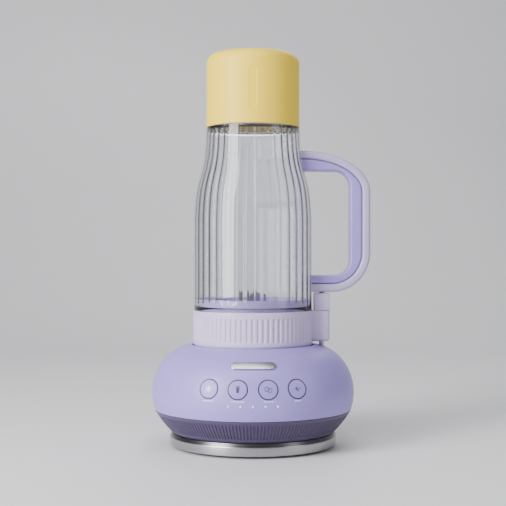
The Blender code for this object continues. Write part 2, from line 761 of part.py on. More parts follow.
def upper_bracket(base):
    """Sits on the stator and holds the upper bearing."""
    seat = stack_bottom() + STACK_HEIGHT + GAP
    lid = seat + 0.0045
    bore = BEARING_RADIUS + GAP
    hub = BEARING_RADIUS + 0.0030
    profile = [
        (SHAFT_RADIUS + 0.0015, lid + 0.0085),
        (hub, lid + 0.0085),
        (hub, lid + 0.0022),
        (STATOR_RADIUS, lid + 0.0022),
        (STATOR_RADIUS, seat),
        (STATOR_RADIUS - 0.0055, seat),
        (STATOR_RADIUS - 0.0055, lid),
        (hub, lid),
        (hub, lid - 0.0005),
        (bore, lid - 0.0005),
        (bore, lid + 0.0070),
        (SHAFT_RADIUS + 0.0015, lid + 0.0070),
    ]
    return turned("upper_bracket", profile, base, "laminated_iron")


def bearings(base):
    lower = bracket_floor() - 0.0007
    upper = stack_bottom() + STACK_HEIGHT + GAP + 0.0045 + 0.0070 - GAP - BEARING_HEIGHT
    inner = SHAFT_RADIUS + GAP
    for name, low in (("lower_bearing", lower), ("upper_bearing", upper)):
        high = low + BEARING_HEIGHT if name == "upper_bearing" else low + BEARING_HEIGHT - 0.001
        sleeve(name, inner, BEARING_RADIUS, low, high, base, "steel")


def stator(base):
    bottom = stack_bottom()
    inner = STATOR_RADIUS - 0.0070
    return sleeve("stator", inner, STATOR_RADIUS, bottom, bottom + STACK_HEIGHT, base, "laminated_iron")


def field_coils(base):
    """A bent winding at each side, between the stator's ring and the armature."""
    bottom = stack_bottom() - 0.0030
    top = stack_bottom() + STACK_HEIGHT + 0.0025
    inner, outer = ARMATURE_RADIUS + 0.0015, STATOR_RADIUS - 0.0070 - 2 * GAP
    for name, turn in (("field_coil_left", -pi / 2), ("field_coil_right", pi / 2)):
        side = axis_empty(name + "_side", base, Matrix.Rotation(turn, 4, "Z"))
        band(name, inner, bottom, top, radians(55), outer - inner, side, "copper", 8)


def brush_holders(base):
    """A brass-coloured box at each side of the commutator, standing on the lower bracket."""
    low = bracket_floor() + 0.0035 + GAP
    inner, outer = COMMUTATOR_RADIUS + GAP, STATOR_RADIUS - 0.0055 - 0.0008
    for name, turn in (("brush_holder_left", pi), ("brush_holder_right", 0)):
        place = [Matrix.Rotation(turn, 4, "Z")]
        size = ((inner, -0.004, low), (outer, 0.004, low + 0.0070))
        boxes(name, size, place, base, "copper")


def shaft_drip_seal(base):
    """A flanged collar around the shaft that keeps spills out of the motor."""
    inner = SHAFT_RADIUS + 0.0004
    outer = SHAFT_RADIUS + 0.0035 - GAP
    profile = [
        (inner, WELL_FLOOR + 0.0011),
        (outer + 0.0028, WELL_FLOOR + 0.0011),
        (outer + 0.0028, WELL_FLOOR + GAP),
        (outer, WELL_FLOOR + GAP),
        (outer, FLOOR_UNDERSIDE - 0.0005),
        (inner, FLOOR_UNDERSIDE - 0.0005),
    ]
    return turned("shaft_drip_seal", profile, base, "silicone")


def coupler_bottom():
    return COLLAR_BOTTOM + 0.0012


def motor_shaft(rotor):
    top = coupler_bottom() + 0.0018 + SPLINE_LENGTH - 0.0016
    low = FAN_BOTTOM - 0.0012
    place = [Matrix()]
    return rods("motor_shaft", SHAFT_RADIUS, low, top, place, rotor, "steel", SMALL_FACETS)


def armature(rotor):
    """The laminated core, slotted along its length for the windings."""
    low = stack_bottom()
    core = sleeve(
        "armature", SHAFT_RADIUS + GAP, ARMATURE_RADIUS, low, low + STACK_HEIGHT, rotor, "laminated_iron"
    )
    slots = [Matrix.Rotation(2 * pi * (i + 0.5) / ARMATURE_SLOTS, 4, "Z") for i in range(ARMATURE_SLOTS)]
    near = (ARMATURE_RADIUS - 0.004, -0.0011, low - 0.001)
    far = (ARMATURE_RADIUS + 0.002, 0.0011, low + STACK_HEIGHT + 0.001)
    cut(core, boxes("armature_slots", (near, far), slots, rotor))
    return core


def commutator(rotor):
    low = bracket_floor() + 0.0050
    return sleeve("commutator", SHAFT_RADIUS + GAP, COMMUTATOR_RADIUS, low, low + 0.0080, rotor, "copper")


def cooling_fan(rotor):
    """A disc with a hub and nine radial blades under it."""
    top = FAN_BOTTOM + FAN_HEIGHT
    bore = SHAFT_RADIUS + GAP
    profile = [
        (bore, top),
        (FAN_RADIUS, top),
        (FAN_RADIUS, top - 0.0012),
        (0.0065, top - 0.0012),
        (0.0065, FAN_BOTTOM),
        (bore, FAN_BOTTOM),
    ]
    fan = turned("cooling_fan", profile, rotor, "black_plastic")
    places = [Matrix.Rotation(2 * pi * i / FAN_BLADES, 4, "Z") for i in range(FAN_BLADES)]
    size = ((0.0085, -0.0006, FAN_BOTTOM), (FAN_RADIUS - 0.001, 0.0006, top - 0.0006))
    join(fan, boxes("fan_blades", size, places, rotor))
    return fan


def spline_outline(radius):
    """A six-lobed outline, with one point in each valley and two on each lobe."""
    valley = radius - 0.0020
    points = []
    for i in range(SPLINE_TEETH):
        middle = 2 * pi * i / SPLINE_TEETH
        for turn, r in ((-0.36, valley), (-0.22, radius), (0.22, radius), (0.36, valley)):
            points.append((r * cos(middle + turn), r * sin(middle + turn)))
    return points


def drive_coupler(rotor):
    """The toothed driver on top of the motor shaft."""
    low = coupler_bottom()
    rim = SPLINE_RADIUS + 0.003
    disc = rods("drive_coupler", rim, low, low + 0.0018, [Matrix()], rotor, "black_plastic", 24)
    lift = Matrix.Translation((0, 0, low + 0.0010))
    teeth = extruded("driver_teeth", spline_outline(SPLINE_RADIUS), SPLINE_LENGTH + 0.0008, lift, rotor)
    join(disc, teeth)
    bore_top = low + 0.0018 + SPLINE_LENGTH - 0.0016 + GAP
    cut(disc, rods("driver_bore", SHAFT_RADIUS + GAP, low - 0.001, bore_top, [Matrix()], rotor))
    return disc


# ---------------------------------------------------------------- interlock


def interlock_plunger(seat):
    """The pin in the dome that the tab's rod presses down."""
    low, high = CROWN_Z - 0.0205, CROWN_Z - 0.0003
    return rods("interlock_plunger", PLUNGER_RADIUS, low, high, [Matrix()], seat, "white_plastic")


def interlock_rod(seat):
    """The rod in the tab, with a flange that its spring holds up under the cover's roof."""
    top = HANDLE_BOTTOM - GAP
    flange_top = TAB_COVER_TOP - TAB_WALL - GAP
    flange = ROD_RADIUS + 0.0016
    profile = [
        (0, top),
        (ROD_RADIUS - 0.0003, top),
        (ROD_RADIUS, top - 0.0003),
        (ROD_RADIUS, flange_top),
        (flange, flange_top),
        (flange, flange_top - 0.0012),
        (ROD_RADIUS, flange_top - 0.0012),
        (ROD_RADIUS, CROWN_Z),
        (0, CROWN_Z),
    ]
    return turned("interlock_rod", profile, seat, "white_plastic", 16)


def interlock_spring(collar):
    """A coil of round wire around the rod, standing on the tab."""
    wire = 0.00035
    low = COLLAR_TOP + GAP + wire
    high = TAB_COVER_TOP - TAB_WALL - GAP - 0.0012 - PRESS_TRAVEL - GAP - wire
    turns, each = 4, 8
    curve = bpy.data.curves.new("spring_wire", "CURVE")
    curve.dimensions = "3D"
    curve.bevel_depth = wire
    curve.bevel_resolution = 1
    curve.use_fill_caps = True
    line = curve.splines.new("POLY")
    line.points.add(turns * each)
    for i, point in enumerate(line.points):
        angle = 2 * pi * i / each
        radius = ROD_RADIUS + 0.0010
        x = TAB_MIDDLE + radius * cos(angle)
        point.co = (x, radius * sin(angle), low + (high - low) * i / (turns * each), 1)
    spring = bpy.data.objects.new("interlock_spring", curve)
    PARTS.objects.link(spring)
    spring.parent = collar
    curve.materials.append(finish("steel"))
    return spring


# ---------------------------------------------------------------- blade base


def blade_collar(collar):
    """The ring that the cup screws into, with a web across it and the lower half of the tab."""
    arc = quarter((COLLAR_RADIUS - COLLAR_FILLET, COLLAR_BOTTOM + COLLAR_FILLET), [COLLAR_FILLET] * 2, 0, 4)
    skirt_bore = COLLAR_RADIUS - 0.0078
    hole = COUPLER_RADIUS + 0.0043
    profile = [(COLLAR_BORE, COLLAR_TOP), (COLLAR_RADIUS - 0.0004, COLLAR_TOP)]
    profile += [(COLLAR_RADIUS, COLLAR_TOP - 0.0004), *arc]
    profile += [(skirt_bore, COLLAR_BOTTOM), (skirt_bore, WEB_BOTTOM), (hole, WEB_BOTTOM)]
    profile += [(hole, WEB_TOP), (COLLAR_BORE, WEB_TOP)]
    ring = turned("blade_collar", profile, collar, "pale_collar_plastic", CUP_FACETS)
    half = TAB_WIDTH / 2
    size = ((COLLAR_RADIUS - 0.0010, -half, TAB_BOTTOM), (TAB_REACH, half, COLLAR_TOP))
    tab = round_edges(boxes("tab_block", size, [Matrix()], collar), 0.0016)
    thread = helix(
        "collar_thread",
        COLLAR_BORE + 0.0006,
        COLLAR_BORE - THREAD_SPACE + GAP,
        LOWER_NECK_END + THREAD_WIDTH + 0.0001,
        LOWER_PITCH,
        pi,
        collar,
    )
    join(ring, tab, thread)
    place = [around(TAB_MIDDLE, 0)]
    cut(ring, rods("tab_bore", ROD_RADIUS + GAP, TAB_BOTTOM - 0.01, COLLAR_TOP + 0.01, place, collar))
    return ring


def tab_cover(collar):
    """The upper half of the tab: a cap over the spring, with a hole for the rod."""
    half = TAB_WIDTH / 2
    bottom = COLLAR_TOP + GAP
    size = ((TAB_NEAR, -half, bottom), (TAB_REACH, half, TAB_COVER_TOP))
    cover = round_edges(boxes("tab_cover", size, [Matrix()], collar, "pale_collar_plastic"), 0.0016)
    low = (TAB_NEAR + TAB_WALL, TAB_WALL - half, bottom - 0.01)
    high = (TAB_REACH - TAB_WALL, half - TAB_WALL, TAB_COVER_TOP - TAB_WALL)
    place = [around(TAB_MIDDLE, 0)]
    hollow = boxes("cover_hollow", (low, high), [Matrix()], collar)
    bore = rods("cover_bore", ROD_RADIUS + GAP, bottom, TAB_COVER_TOP + 0.01, place, collar)
    cut(cover, hollow, bore)
    return cover


def tower_top():
    return PLATFORM_BOTTOM + 0.0118


def blade_platform(collar):
    """The dish that closes the cup's foot: a tall rim, a floor and a bearing tower."""
    rim_top = COLLAR_TOP + 0.0090
    rim = LOWER_NECK_BORE - 0.0006
    bore = BEARING_RADIUS + GAP
    housing = COUPLER_RADIUS + 0.0039
    profile = [
        (rim - 0.0022, rim_top),
        (rim, rim_top),
        (rim, PLATFORM_BOTTOM + PLATFORM_FLANGE),
        (COLLAR_BORE - 0.0004, PLATFORM_BOTTOM + PLATFORM_FLANGE),
        (COLLAR_BORE - 0.0004, PLATFORM_BOTTOM),
        (housing, PLATFORM_BOTTOM),
        (housing, WEB_BOTTOM + 0.0006),
        (bore, WEB_BOTTOM + 0.0006),
        (bore, tower_top()),
        (bore + 0.0037, tower_top()),
        (bore + 0.0060, PLATFORM_BOTTOM + 0.0058),
        (rim - 0.0052, PLATFORM_BOTTOM + 0.0036),
        (rim - 0.0022, PLATFORM_BOTTOM + 0.0063),
    ]
    return turned("blade_platform", profile, collar, "platform_plastic", CUP_FACETS)


def bushes(collar):
    inner = BLADE_SHAFT_RADIUS + GAP
    low = WEB_BOTTOM + 0.0008
    sleeve("lower_bush", inner, BEARING_RADIUS, low, low + 0.0047, collar, "copper")
    top = tower_top() - 0.0003
    sleeve("upper_bush", inner, BEARING_RADIUS, top - 0.0052, top, collar, "copper")


def shaft_seal(collar):
    low = tower_top() + GAP
    return sleeve("shaft_seal", BLADE_SHAFT_RADIUS + GAP, 0.0090, low, low + 0.0014, collar, "silicone")


# ---------------------------------------------------------------- blades


def blade_level():
    return tower_top() + 0.0020


def blade_shaft(blades):
    top = blade_level() + 2 * (BLADE_THICKNESS + GAP) + 0.0030
    low = driven_top() - 0.0028
    return rods("blade_shaft", BLADE_SHAFT_RADIUS, low, top, [Matrix()], blades, "steel", SMALL_FACETS)


def blade(name, level, reach, droop, turn, blades):
    """A two-armed blade: a flat hub, then arms that narrow and bend up or down by droop."""
    flat = 0.0105
    points = []
    for x in (-reach, -flat - 0.004, -flat, 0, flat, flat + 0.004, reach):
        over = max(abs(x) - flat, 0)
        half = 0.0065 - 0.0035 * over / (reach - flat)
        sweep = 0.25 * over * (1 if x > 0 else -1)
        z = level + over * sin(droop)
        along = (1 if x > 0 else -1) * (abs(x) - over + over * cos(droop))
        points.append([(along, -half + sweep, z), (along, half + sweep, z)])
    across = [list(row) for row in zip(*points)]
    place = axis_empty(name + "_turn", blades, Matrix.Rotation(turn, 4, "Z"))
    arm = sheet(name, across, BLADE_THICKNESS, place, "steel")
    arm.modifiers["thickness"].use_even_offset = False
    hole = [Matrix()]
    cut(arm, rods(name + "_hole", BLADE_SHAFT_RADIUS + GAP, level - 0.01, level + 0.01, hole, place))
    return arm


def blade_nut(blades):
    """The hexagonal nut that clamps the two blades."""
    low = blade_level() + 2 * (BLADE_THICKNESS + GAP)
    nut = rods("blade_nut", 0.0058, low, low + 0.0026, [Matrix()], blades, "steel", 6)
    cut(nut, rods("nut_bore", BLADE_SHAFT_RADIUS + GAP, low - 0.01, low + 0.01, [Matrix()], blades))
    return nut


def driven_top():
    return WEB_BOTTOM - GAP


def driven_coupler(blades):
    """The socket that drops over the motor's driver."""
    low = coupler_bottom() + 0.0018 + 2 * GAP
    place = [Matrix()]
    socket = rods("driven_coupler", COUPLER_RADIUS, low, driven_top(), place, blades, "black_plastic", 24)
    depth = Matrix.Translation((0, 0, low - 0.001))
    cavity_height = SPLINE_LENGTH + 0.001
    outline = spline_outline(SPLINE_RADIUS + SPLINE_CLEARANCE)
    cavity = extruded("driver_cavity", outline, cavity_height, depth, blades)
    bore = rods("socket_bore", BLADE_SHAFT_RADIUS + GAP, low, driven_top() + 0.01, place, blades)
    cut(socket, cavity, bore)
    return socket


# ---------------------------------------------------------------- cup


def shoulder_share(share):
    """How far the shoulder has drawn in: an S that is steepest a little below its middle."""
    steepness, middle, straight = 5.0, 0.465, 0.25
    low, high = tanh(-steepness * middle), tanh(steepness * (1 - middle))
    bend = (tanh(steepness * (share - middle)) - low) / (high - low)
    return (1 - straight) * bend + straight * share


def jar_radius(height):
    share = min(max((height - JAR_SHOULDER) / SHOULDER_HEIGHT, 0), 1)
    return JAR_RADIUS - (JAR_RADIUS - JAR_MOUTH_RADIUS) * shoulder_share(share)


def jar(cup):
    """The clear cup: a threaded neck at each end, open right through."""
    down = [JAR_MOUTH - SHOULDER_HEIGHT * i / 8 for i in range(9)]
    up = [JAR_SHOULDER + (SHOULDER_HEIGHT - 0.0028) * i / 6 for i in range(7)]
    profile = [
        (NECK_BORE, NECK_TOP),
        (NECK_RADIUS - 0.0004, NECK_TOP),
        (NECK_RADIUS, NECK_TOP - 0.0004),
        (NECK_RADIUS, JAR_MOUTH),
    ]
    profile += [(jar_radius(z), z) for z in down]
    profile += [
        (JAR_RADIUS, JAR_FOOT + GAP),
        (JAR_RADIUS - GAP, JAR_FOOT),
        (LOWER_NECK_RADIUS, JAR_FOOT),
        (LOWER_NECK_RADIUS, LOWER_NECK_END),
        (LOWER_NECK_BORE, LOWER_NECK_END),
        (LOWER_NECK_BORE, JAR_FOOT + 0.0010),
        (JAR_RADIUS - JAR_WALL, JAR_FOOT + 0.0027),
    ]
    profile += [(jar_radius(z) - JAR_WALL, z) for z in up]
    profile += [(NECK_BORE, JAR_MOUTH + 0.0007)]
    body = turned("jar", profile, cup, "clear_plastic", CUP_FACETS)
    lower = helix(
        "lower_neck_thread",
        LOWER_NECK_RADIUS - 0.0006,
        LOWER_NECK_RADIUS + THREAD_SPACE - GAP,
        LOWER_NECK_END + THREAD_WIDTH + 0.0001,
        LOWER_PITCH,
        0,
        cup,
    )
    upper = helix(
        "upper_neck_thread",
        NECK_RADIUS - 0.0006,
        LINER_BORE - GAP,
        JAR_MOUTH + 0.0030,
        LID_PITCH,
        0,
        cup,
    )
    join(body, lower, upper)
    return body


def cup_seal(cup):
    low = PLATFORM_BOTTOM + PLATFORM_FLANGE + GAP
    inner, outer = LOWER_NECK_BORE + SEAL_MARGIN, LOWER_NECK_RADIUS - SEAL_MARGIN
    return sleeve("cup_seal", inner, outer, low, low + SEAL_HEIGHT, cup, "silicone", CUP_FACETS)


def handle_rail(inset, start):
    """The handle's outer line, drawn in by inset, from its top end to its bottom end."""
    reach = HANDLE_REACH - inset
    top, low = HANDLE_TOP - inset, HANDLE_BOTTOM + inset
    rail = [(start, top)]
    rail += quarter((HANDLE_REACH - 0.054, HANDLE_TOP - 0.033), (0.054 - inset, 0.033 - inset), pi / 2, 8)
    rail += quarter((HANDLE_REACH - 0.030, HANDLE_BOTTOM + 0.032), (0.030 - inset, 0.032 - inset), 0, 8)
    return [point for point in rail if point[0] <= reach + 1e-6] + [(JAR_RADIUS - 0.003, low)]


def handle_hole_line():
    """The finger gap's edge, from the lower arm back up to the upper one."""
    side = HANDLE_REACH - HANDLE_THICKNESS
    low, high = HANDLE_BOTTOM + LOWER_ARM_THICKNESS, HANDLE_TOP - HANDLE_THICKNESS
    corner = 0.012
    upper = quarter((side - corner, high - corner), (corner, corner), pi / 2, 5)
    lower = quarter((side - corner, low + corner), (corner, corner), 0, 5)
    down = upper + lower
    return [(JAR_RADIUS - 0.003, low)] + down[::-1] + [(JAR_MOUTH_RADIUS - 0.003, high)]


def handle_piece(name, outline, finish_name, cup):
    """An outline in the XZ plane given the handle's depth, with its ends shaped to the cup."""
    stand = Matrix.Translation((0, HANDLE_DEPTH / 2, 0)) @ Matrix.Rotation(pi / 2, 4, "X")
    piece = extruded(name, outline, HANDLE_DEPTH, stand, cup, finish_name)
    round_edges(piece, HANDLE_EDGE)
    heights = [JAR_MOUTH - (JAR_MOUTH - JAR_FOOT) * i / 20 for i in range(21)]
    wall = [(jar_radius(z) + GAP, z) for z in heights]
    envelope = turned(name + "_cup_wall", [(0, JAR_MOUTH), *wall, (0, JAR_FOOT)], cup, facets=CUP_FACETS)
    cut(piece, envelope)
    return piece


def handle(cup):
    split = GRIP_THICKNESS + GAP
    outline = handle_rail(split, JAR_MOUTH_RADIUS - 0.003) + handle_hole_line()
    return handle_piece("handle", outline, "handle_plastic", cup)


def handle_grip(cup):
    start = JAR_MOUTH_RADIUS - 0.003
    outline = handle_rail(0, start) + handle_rail(GRIP_THICKNESS, start)[::-1]
    return handle_piece("handle_grip", outline, "grip_plastic", cup)


# ---------------------------------------------------------------- lid


def lid_shell(lid):
    outer = quarter((LID_RADIUS - LID_CORNER, LID_TOP - LID_CORNER), [LID_CORNER] * 2, pi / 2, 5)
    corner = LID_CORNER - LID_WALL
    inner = quarter((LID_RADIUS - LID_CORNER, LID_TOP - LID_CORNER), [corner] * 2, pi / 2, 4)
    profile = [(0, LID_TOP), *outer, (LID_RADIUS, LID_BOTTOM), (LID_RADIUS - LID_WALL, LID_BOTTOM)]
    profile += [*inner[::-1], (0, LID_TOP - LID_WALL)]
    return turned("lid_shell", profile, lid, "yellow_plastic", CUP_FACETS)


def liner_disc():
    """The underside of the liner's disc, above the seal on the cup's rim."""
    return NECK_TOP + 2 * GAP + 0.0017


def lid_liner(lid):
    """The threaded cup inside the lid, closed by a disc."""
    top = liner_disc() + 0.0020
    bottom = LID_BOTTOM + GAP
    profile = [
        (0, top),
        (LINER_RADIUS, top),
        (LINER_RADIUS, bottom),
        (LINER_BORE, bottom),
        (LINER_BORE, liner_disc()),
        (0, liner_disc()),
    ]
    liner = turned("lid_liner", profile, lid, "yellow_plastic", CUP_FACETS)
    low = JAR_MOUTH + 0.0030
    join(liner, helix("liner_thread", LINER_BORE + 0.0006, NECK_RADIUS + GAP, low, LID_PITCH, pi, lid))
    return liner


def lid_seal(lid):
    low = NECK_TOP + GAP
    inner, outer = NECK_BORE + SEAL_MARGIN, LINER_BORE - GAP
    return sleeve("lid_seal", inner, outer, low, low + 0.0017, lid, "silicone", CUP_FACETS)


# ---------------------------------------------------------------- the whole blender


def build():
    base = axis_empty("blender_axis", matrix=Matrix.Translation((AXIS_X, 0, 0)))
    base_shell(base)
    vent_skirt(base)
    cord_inlet(base)
    base_ring(base)
    bottom_plate(base)
    feet(base)
    base_screws(base)
    badge(base)
    buttons(base)
    control_board(base)
    light_pipe(base)
    power_board(base)
    lower_bracket(base)
    upper_bracket(base)
    bearings(base)
    stator(base)
    field_coils(base)
    brush_holders(base)
    shaft_drip_seal(base)

    rotor = axis_empty("motor_axis", base)
    motor_shaft(rotor)
    armature(rotor)
    commutator(rotor)
    cooling_fan(rotor)
    drive_coupler(rotor)

    collar = axis_empty("collar_axis", base)
    interlock_plunger(axis_empty("plunger_axis", base, around(TAB_MIDDLE, 0)))
    interlock_rod(axis_empty("rod_axis", collar, around(TAB_MIDDLE, 0)))
    interlock_spring(collar)
    blade_collar(collar)
    tab_cover(collar)
    blade_platform(collar)
    bushes(collar)
    shaft_seal(collar)

    blades = axis_empty("blade_axis", collar)
    blade_shaft(blades)
    level = blade_level()
    blade("lower_blade", level, LOWER_BLADE_REACH, radians(-9), 0, blades)
    blade("upper_blade", level + BLADE_THICKNESS + GAP, UPPER_BLADE_REACH, radians(38), pi / 2, blades)
    blade_nut(blades)
    driven_coupler(blades)

    cup = axis_empty("cup_axis", collar)
    cup_seal(cup)
    jar(cup)
    handle(cup)
    handle_grip(cup)

    lid = axis_empty("lid_axis", cup)
    lid_seal(lid)
    lid_shell(lid)
    lid_liner(lid)


clear_scene()
PARTS = new_collection("countertop_blender")
HELPERS = new_collection("cutters_and_joiners")
build()
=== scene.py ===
"""Looks for a countertop blender: a motor base, a screw-on clear cup with a handle, and a lid."""

import math

import bmesh
import bpy
from mathutils import Matrix, Vector


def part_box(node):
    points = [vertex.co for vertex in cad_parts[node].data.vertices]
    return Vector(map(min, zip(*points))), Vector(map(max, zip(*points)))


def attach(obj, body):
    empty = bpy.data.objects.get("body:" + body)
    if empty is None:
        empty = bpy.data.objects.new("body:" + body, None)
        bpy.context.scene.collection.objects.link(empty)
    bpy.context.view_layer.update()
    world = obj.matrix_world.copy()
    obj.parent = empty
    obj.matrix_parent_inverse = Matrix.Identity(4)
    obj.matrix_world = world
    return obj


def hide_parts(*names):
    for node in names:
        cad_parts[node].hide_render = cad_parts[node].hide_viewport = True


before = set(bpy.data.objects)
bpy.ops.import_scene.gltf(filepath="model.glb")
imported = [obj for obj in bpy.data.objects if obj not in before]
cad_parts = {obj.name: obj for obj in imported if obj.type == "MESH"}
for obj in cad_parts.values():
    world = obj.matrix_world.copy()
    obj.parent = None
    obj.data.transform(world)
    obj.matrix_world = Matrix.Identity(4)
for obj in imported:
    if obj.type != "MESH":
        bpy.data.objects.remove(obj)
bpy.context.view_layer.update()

# -------------------- the stand, light and camera
# A seamless pale tabletop with a soft light at each side, one above and one behind. The camera
# stands level, a little under a metre away, straight in front of the turning axis.

ring_low, ring_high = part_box("base_ring")
axis = Vector(((ring_low.x + ring_high.x) / 2, 0, 0))
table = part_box("foot_1")[0].z


def soft_light(name, place, aim, size, power):
    lamp = bpy.data.lights.new(name, "AREA")
    lamp.shape = "RECTANGLE"
    lamp.size, lamp.size_y = size
    lamp.energy = power
    holder = bpy.data.objects.new(name, lamp)
    bpy.context.scene.collection.objects.link(holder)
    holder.location = place
    holder.rotation_euler = (Vector(aim) - Vector(place)).to_track_quat("-Z", "Y").to_euler()


middle = axis + Vector((0, 0, 0.16))
soft_light("key_left", (-0.85, -0.75, 0.50), middle, (0.50, 0.9), 25.0)
soft_light("fill_right", (0.85, -0.55, 0.45), middle, (0.35, 0.8), 1.6)
soft_light("top_soft", (-0.1, -0.45, 1.05), middle, (0.7, 0.4), 4.5)
soft_light("back_rim", (0.25, 0.85, 0.95), middle, (0.9, 0.5), 4.0)

world = bpy.data.worlds.new("studio")
world.use_nodes = True
background = world.node_tree.nodes["Background"].inputs
background["Color"].default_value = (0.93, 0.94, 0.97, 1)
background["Strength"].default_value = 0.30
bpy.context.scene.world = world

camera_distance, camera_height = 0.880, 0.153
camera_data = bpy.data.cameras.new("camera")
camera_data.sensor_width = 36
camera_data.lens = 78.3
camera = bpy.data.objects.new("camera", camera_data)
bpy.context.scene.collection.objects.link(camera)
camera.location = (axis.x, -camera_distance, camera_height)
camera.rotation_euler = (math.pi / 2, 0, 0)
bpy.context.scene.camera = camera


# -------------------- finishes and the tabletop
# The tabletop is the first piece that needs a finish. A finish is a Principled shader; what varies
# over its surface is written as sums and products of sockets.


class Socket:
    """A shader socket that takes part in sums as a number does."""

    def __init__(self, finish, link):
        self.finish, self.link = finish, link

    def maths(self, operation, *values):
        inputs = dict(enumerate(values))
        return self.finish.node("ShaderNodeMath", {"operation": operation}, inputs)

    def __add__(self, other):
        return self.maths("ADD", self, other)

    def __sub__(self, other):
        return self.maths("SUBTRACT", self, other)

    def __rsub__(self, other):
        return self.maths("SUBTRACT", other, self)

    def __mul__(self, other):
        return self.maths("MULTIPLY", self, other)

    def __pow__(self, other):
        return self.maths("POWER", self, other)

    def __gt__(self, other):
        return self.maths("GREATER_THAN", self, other)

    __radd__, __rmul__ = __add__, __mul__

    def sine(self):
        return self.maths("SINE", self)

    def ramp(self, low, high):
        """0 at low and below, 1 at high and above."""
        inputs = {"Value": self, "From Min": low, "From Max": high}
        return self.finish.node("ShaderNodeMapRange", {"clamp": True}, inputs)


class Finish:
    """A material: a Principled shader with fixed values and, where fed, sockets."""

    def __init__(self, name, colour, roughness, **fixed):
        self.material = bpy.data.materials.new(name)
        self.material.use_nodes = True
        self.tree = self.material.node_tree
        self.shader = self.tree.nodes["Principled BSDF"]
        self.shader.inputs["Base Color"].default_value = (*colour, 1)
        self.shader.inputs["Roughness"].default_value = roughness
        for key, value in fixed.items():
            self.shader.inputs[key.replace("_", " ")].default_value = value

    def node(self, kind, settings=None, inputs=None, output=0):
        made = self.tree.nodes.new(kind)
        for key, value in (settings or {}).items():
            setattr(made, key, value)
        for key, value in (inputs or {}).items():
            self.fill(made.inputs[key], value)
        return Socket(self, made.outputs[output])

    def fill(self, socket, value):
        if isinstance(value, Socket):
            self.tree.links.new(value.link, socket)
        else:
            socket.default_value = value

    def feed(self, **sockets):
        for key, value in sockets.items():
            self.fill(self.shader.inputs[key.replace("_", " ")], value)
        return self

    def place(self):
        """Coordinates that move with the piece, in metres."""
        return self.node("ShaderNodeTexCoord", output=3)

    def coordinate(self, vector, letter):
        return self.node("ShaderNodeSeparateXYZ", None, {0: vector}, "XYZ".index(letter))

    def stretched(self, vector, scale):
        settings = {"operation": "MULTIPLY"}
        return self.node("ShaderNodeVectorMath", settings, {0: vector, 1: scale})

    def noise(self, vector, scale, detail=2.0, roughness=0.5):
        inputs = {"Vector": vector, "Scale": scale, "Detail": detail, "Roughness": roughness}
        return self.node("ShaderNodeTexNoise", None, inputs)

    def mixed(self, factor, first, second):
        settings = {"data_type": "RGBA"}
        inputs = {0: factor, 6: (*first, 1), 7: (*second, 1)}
        return self.node("ShaderNodeMix", settings, inputs, 2)

    def bumped(self, height, strength, distance):
        inputs = {"Height": height, "Strength": strength, "Distance": distance}
        return self.feed(Normal=self.node("ShaderNodeBump", None, inputs))


def shade(colour, factor):
    return tuple(min(channel * factor, 1.0) for channel in colour)


def tabletop_finish():
    made = Finish("tabletop", (0.80, 0.80, 0.82), 0.55)
    grain = made.noise(made.place(), 9.0, 4.0)
    made.feed(Base_Color=made.mixed(grain, (0.79, 0.79, 0.81), (0.82, 0.82, 0.84)))
    return made.material


def tabletop():
    """A floor that curves up into a backdrop well behind the blender."""
    bm = bmesh.new()
    depth, rise, bend = 1.3, 2.4, 0.5
    path = [(-2.5, table)]
    path += [(depth - bend + bend * math.sin(a), table + bend - bend * math.cos(a))
             for a in (math.pi / 2 * i / 10 for i in range(11))]
    path += [(depth, rise)]
    rows = [[bm.verts.new((x, y, z)) for x in (-4, 4)] for y, z in path]
    for a, b in zip(rows, rows[1:]):
        bm.faces.new((a[0], a[1], b[1], b[0]))
    return finished("backdrop", bm, tabletop_finish())


def smoothed(mesh, angle):
    """Shades the mesh smooth where its faces meet at less than this angle in degrees."""
    mesh.shade_smooth()
    mesh.set_sharp_from_angle(angle=math.radians(angle))


def finished(name, bm, material, smooth=40):
    """The mesh as an object, shaded smooth up to this angle between faces."""
    bmesh.ops.recalc_face_normals(bm, faces=bm.faces)
    mesh = bpy.data.meshes.new(name)
    bm.to_mesh(mesh)
    bm.free()
    smoothed(mesh, smooth)
    mesh.materials.append(material)
    obj = bpy.data.objects.new(name, mesh)
    bpy.context.scene.collection.objects.link(obj)
    return obj


tabletop()

# -------------------- motor base: the dome
# One injection-moulded shell in satin lavender, elliptical in section, with a shallow well in its
# crown for the blade base. It holds the controls and is screwed to the bottom plate from below.

LAVENDER = (0.335, 0.262, 0.690)
shell_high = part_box("base_shell")[1]
skirt_low, skirt_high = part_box("vent_skirt")
dome_radius = shell_high.y
shell_edge = skirt_high.z + 0.0003
belly = shell_edge + 0.0133
crown_rise = shell_high.z + 0.0001 - belly
crown_radius = 0.0460
swell = dome_radius - crown_radius
well_radius = 0.0483
well_floor = 0.0776
hub_bore = 0.0065  # the drive shaft's hole in the well's floor


def moulded(name, colour, roughness, grain=2600.0, depth=0.00002, mottle=0.035, **fixed):
    """Moulded plastic: a fine spark-eroded grain, a trace of mottling and uneven gloss."""
    made = Finish(name, colour, roughness, **fixed)
    place = made.place()
    cloud = made.noise(place, 34.0, 3.0)
    fine = made.noise(place, grain, 2.0)
    made.feed(Base_Color=made.mixed(cloud, shade(colour, 1 - mottle), shade(colour, 1 + mottle)))
    made.feed(Roughness=cloud * 0.08 + fine * 0.06 + (roughness - 0.07))
    return made.bumped(fine, 0.35, depth).material


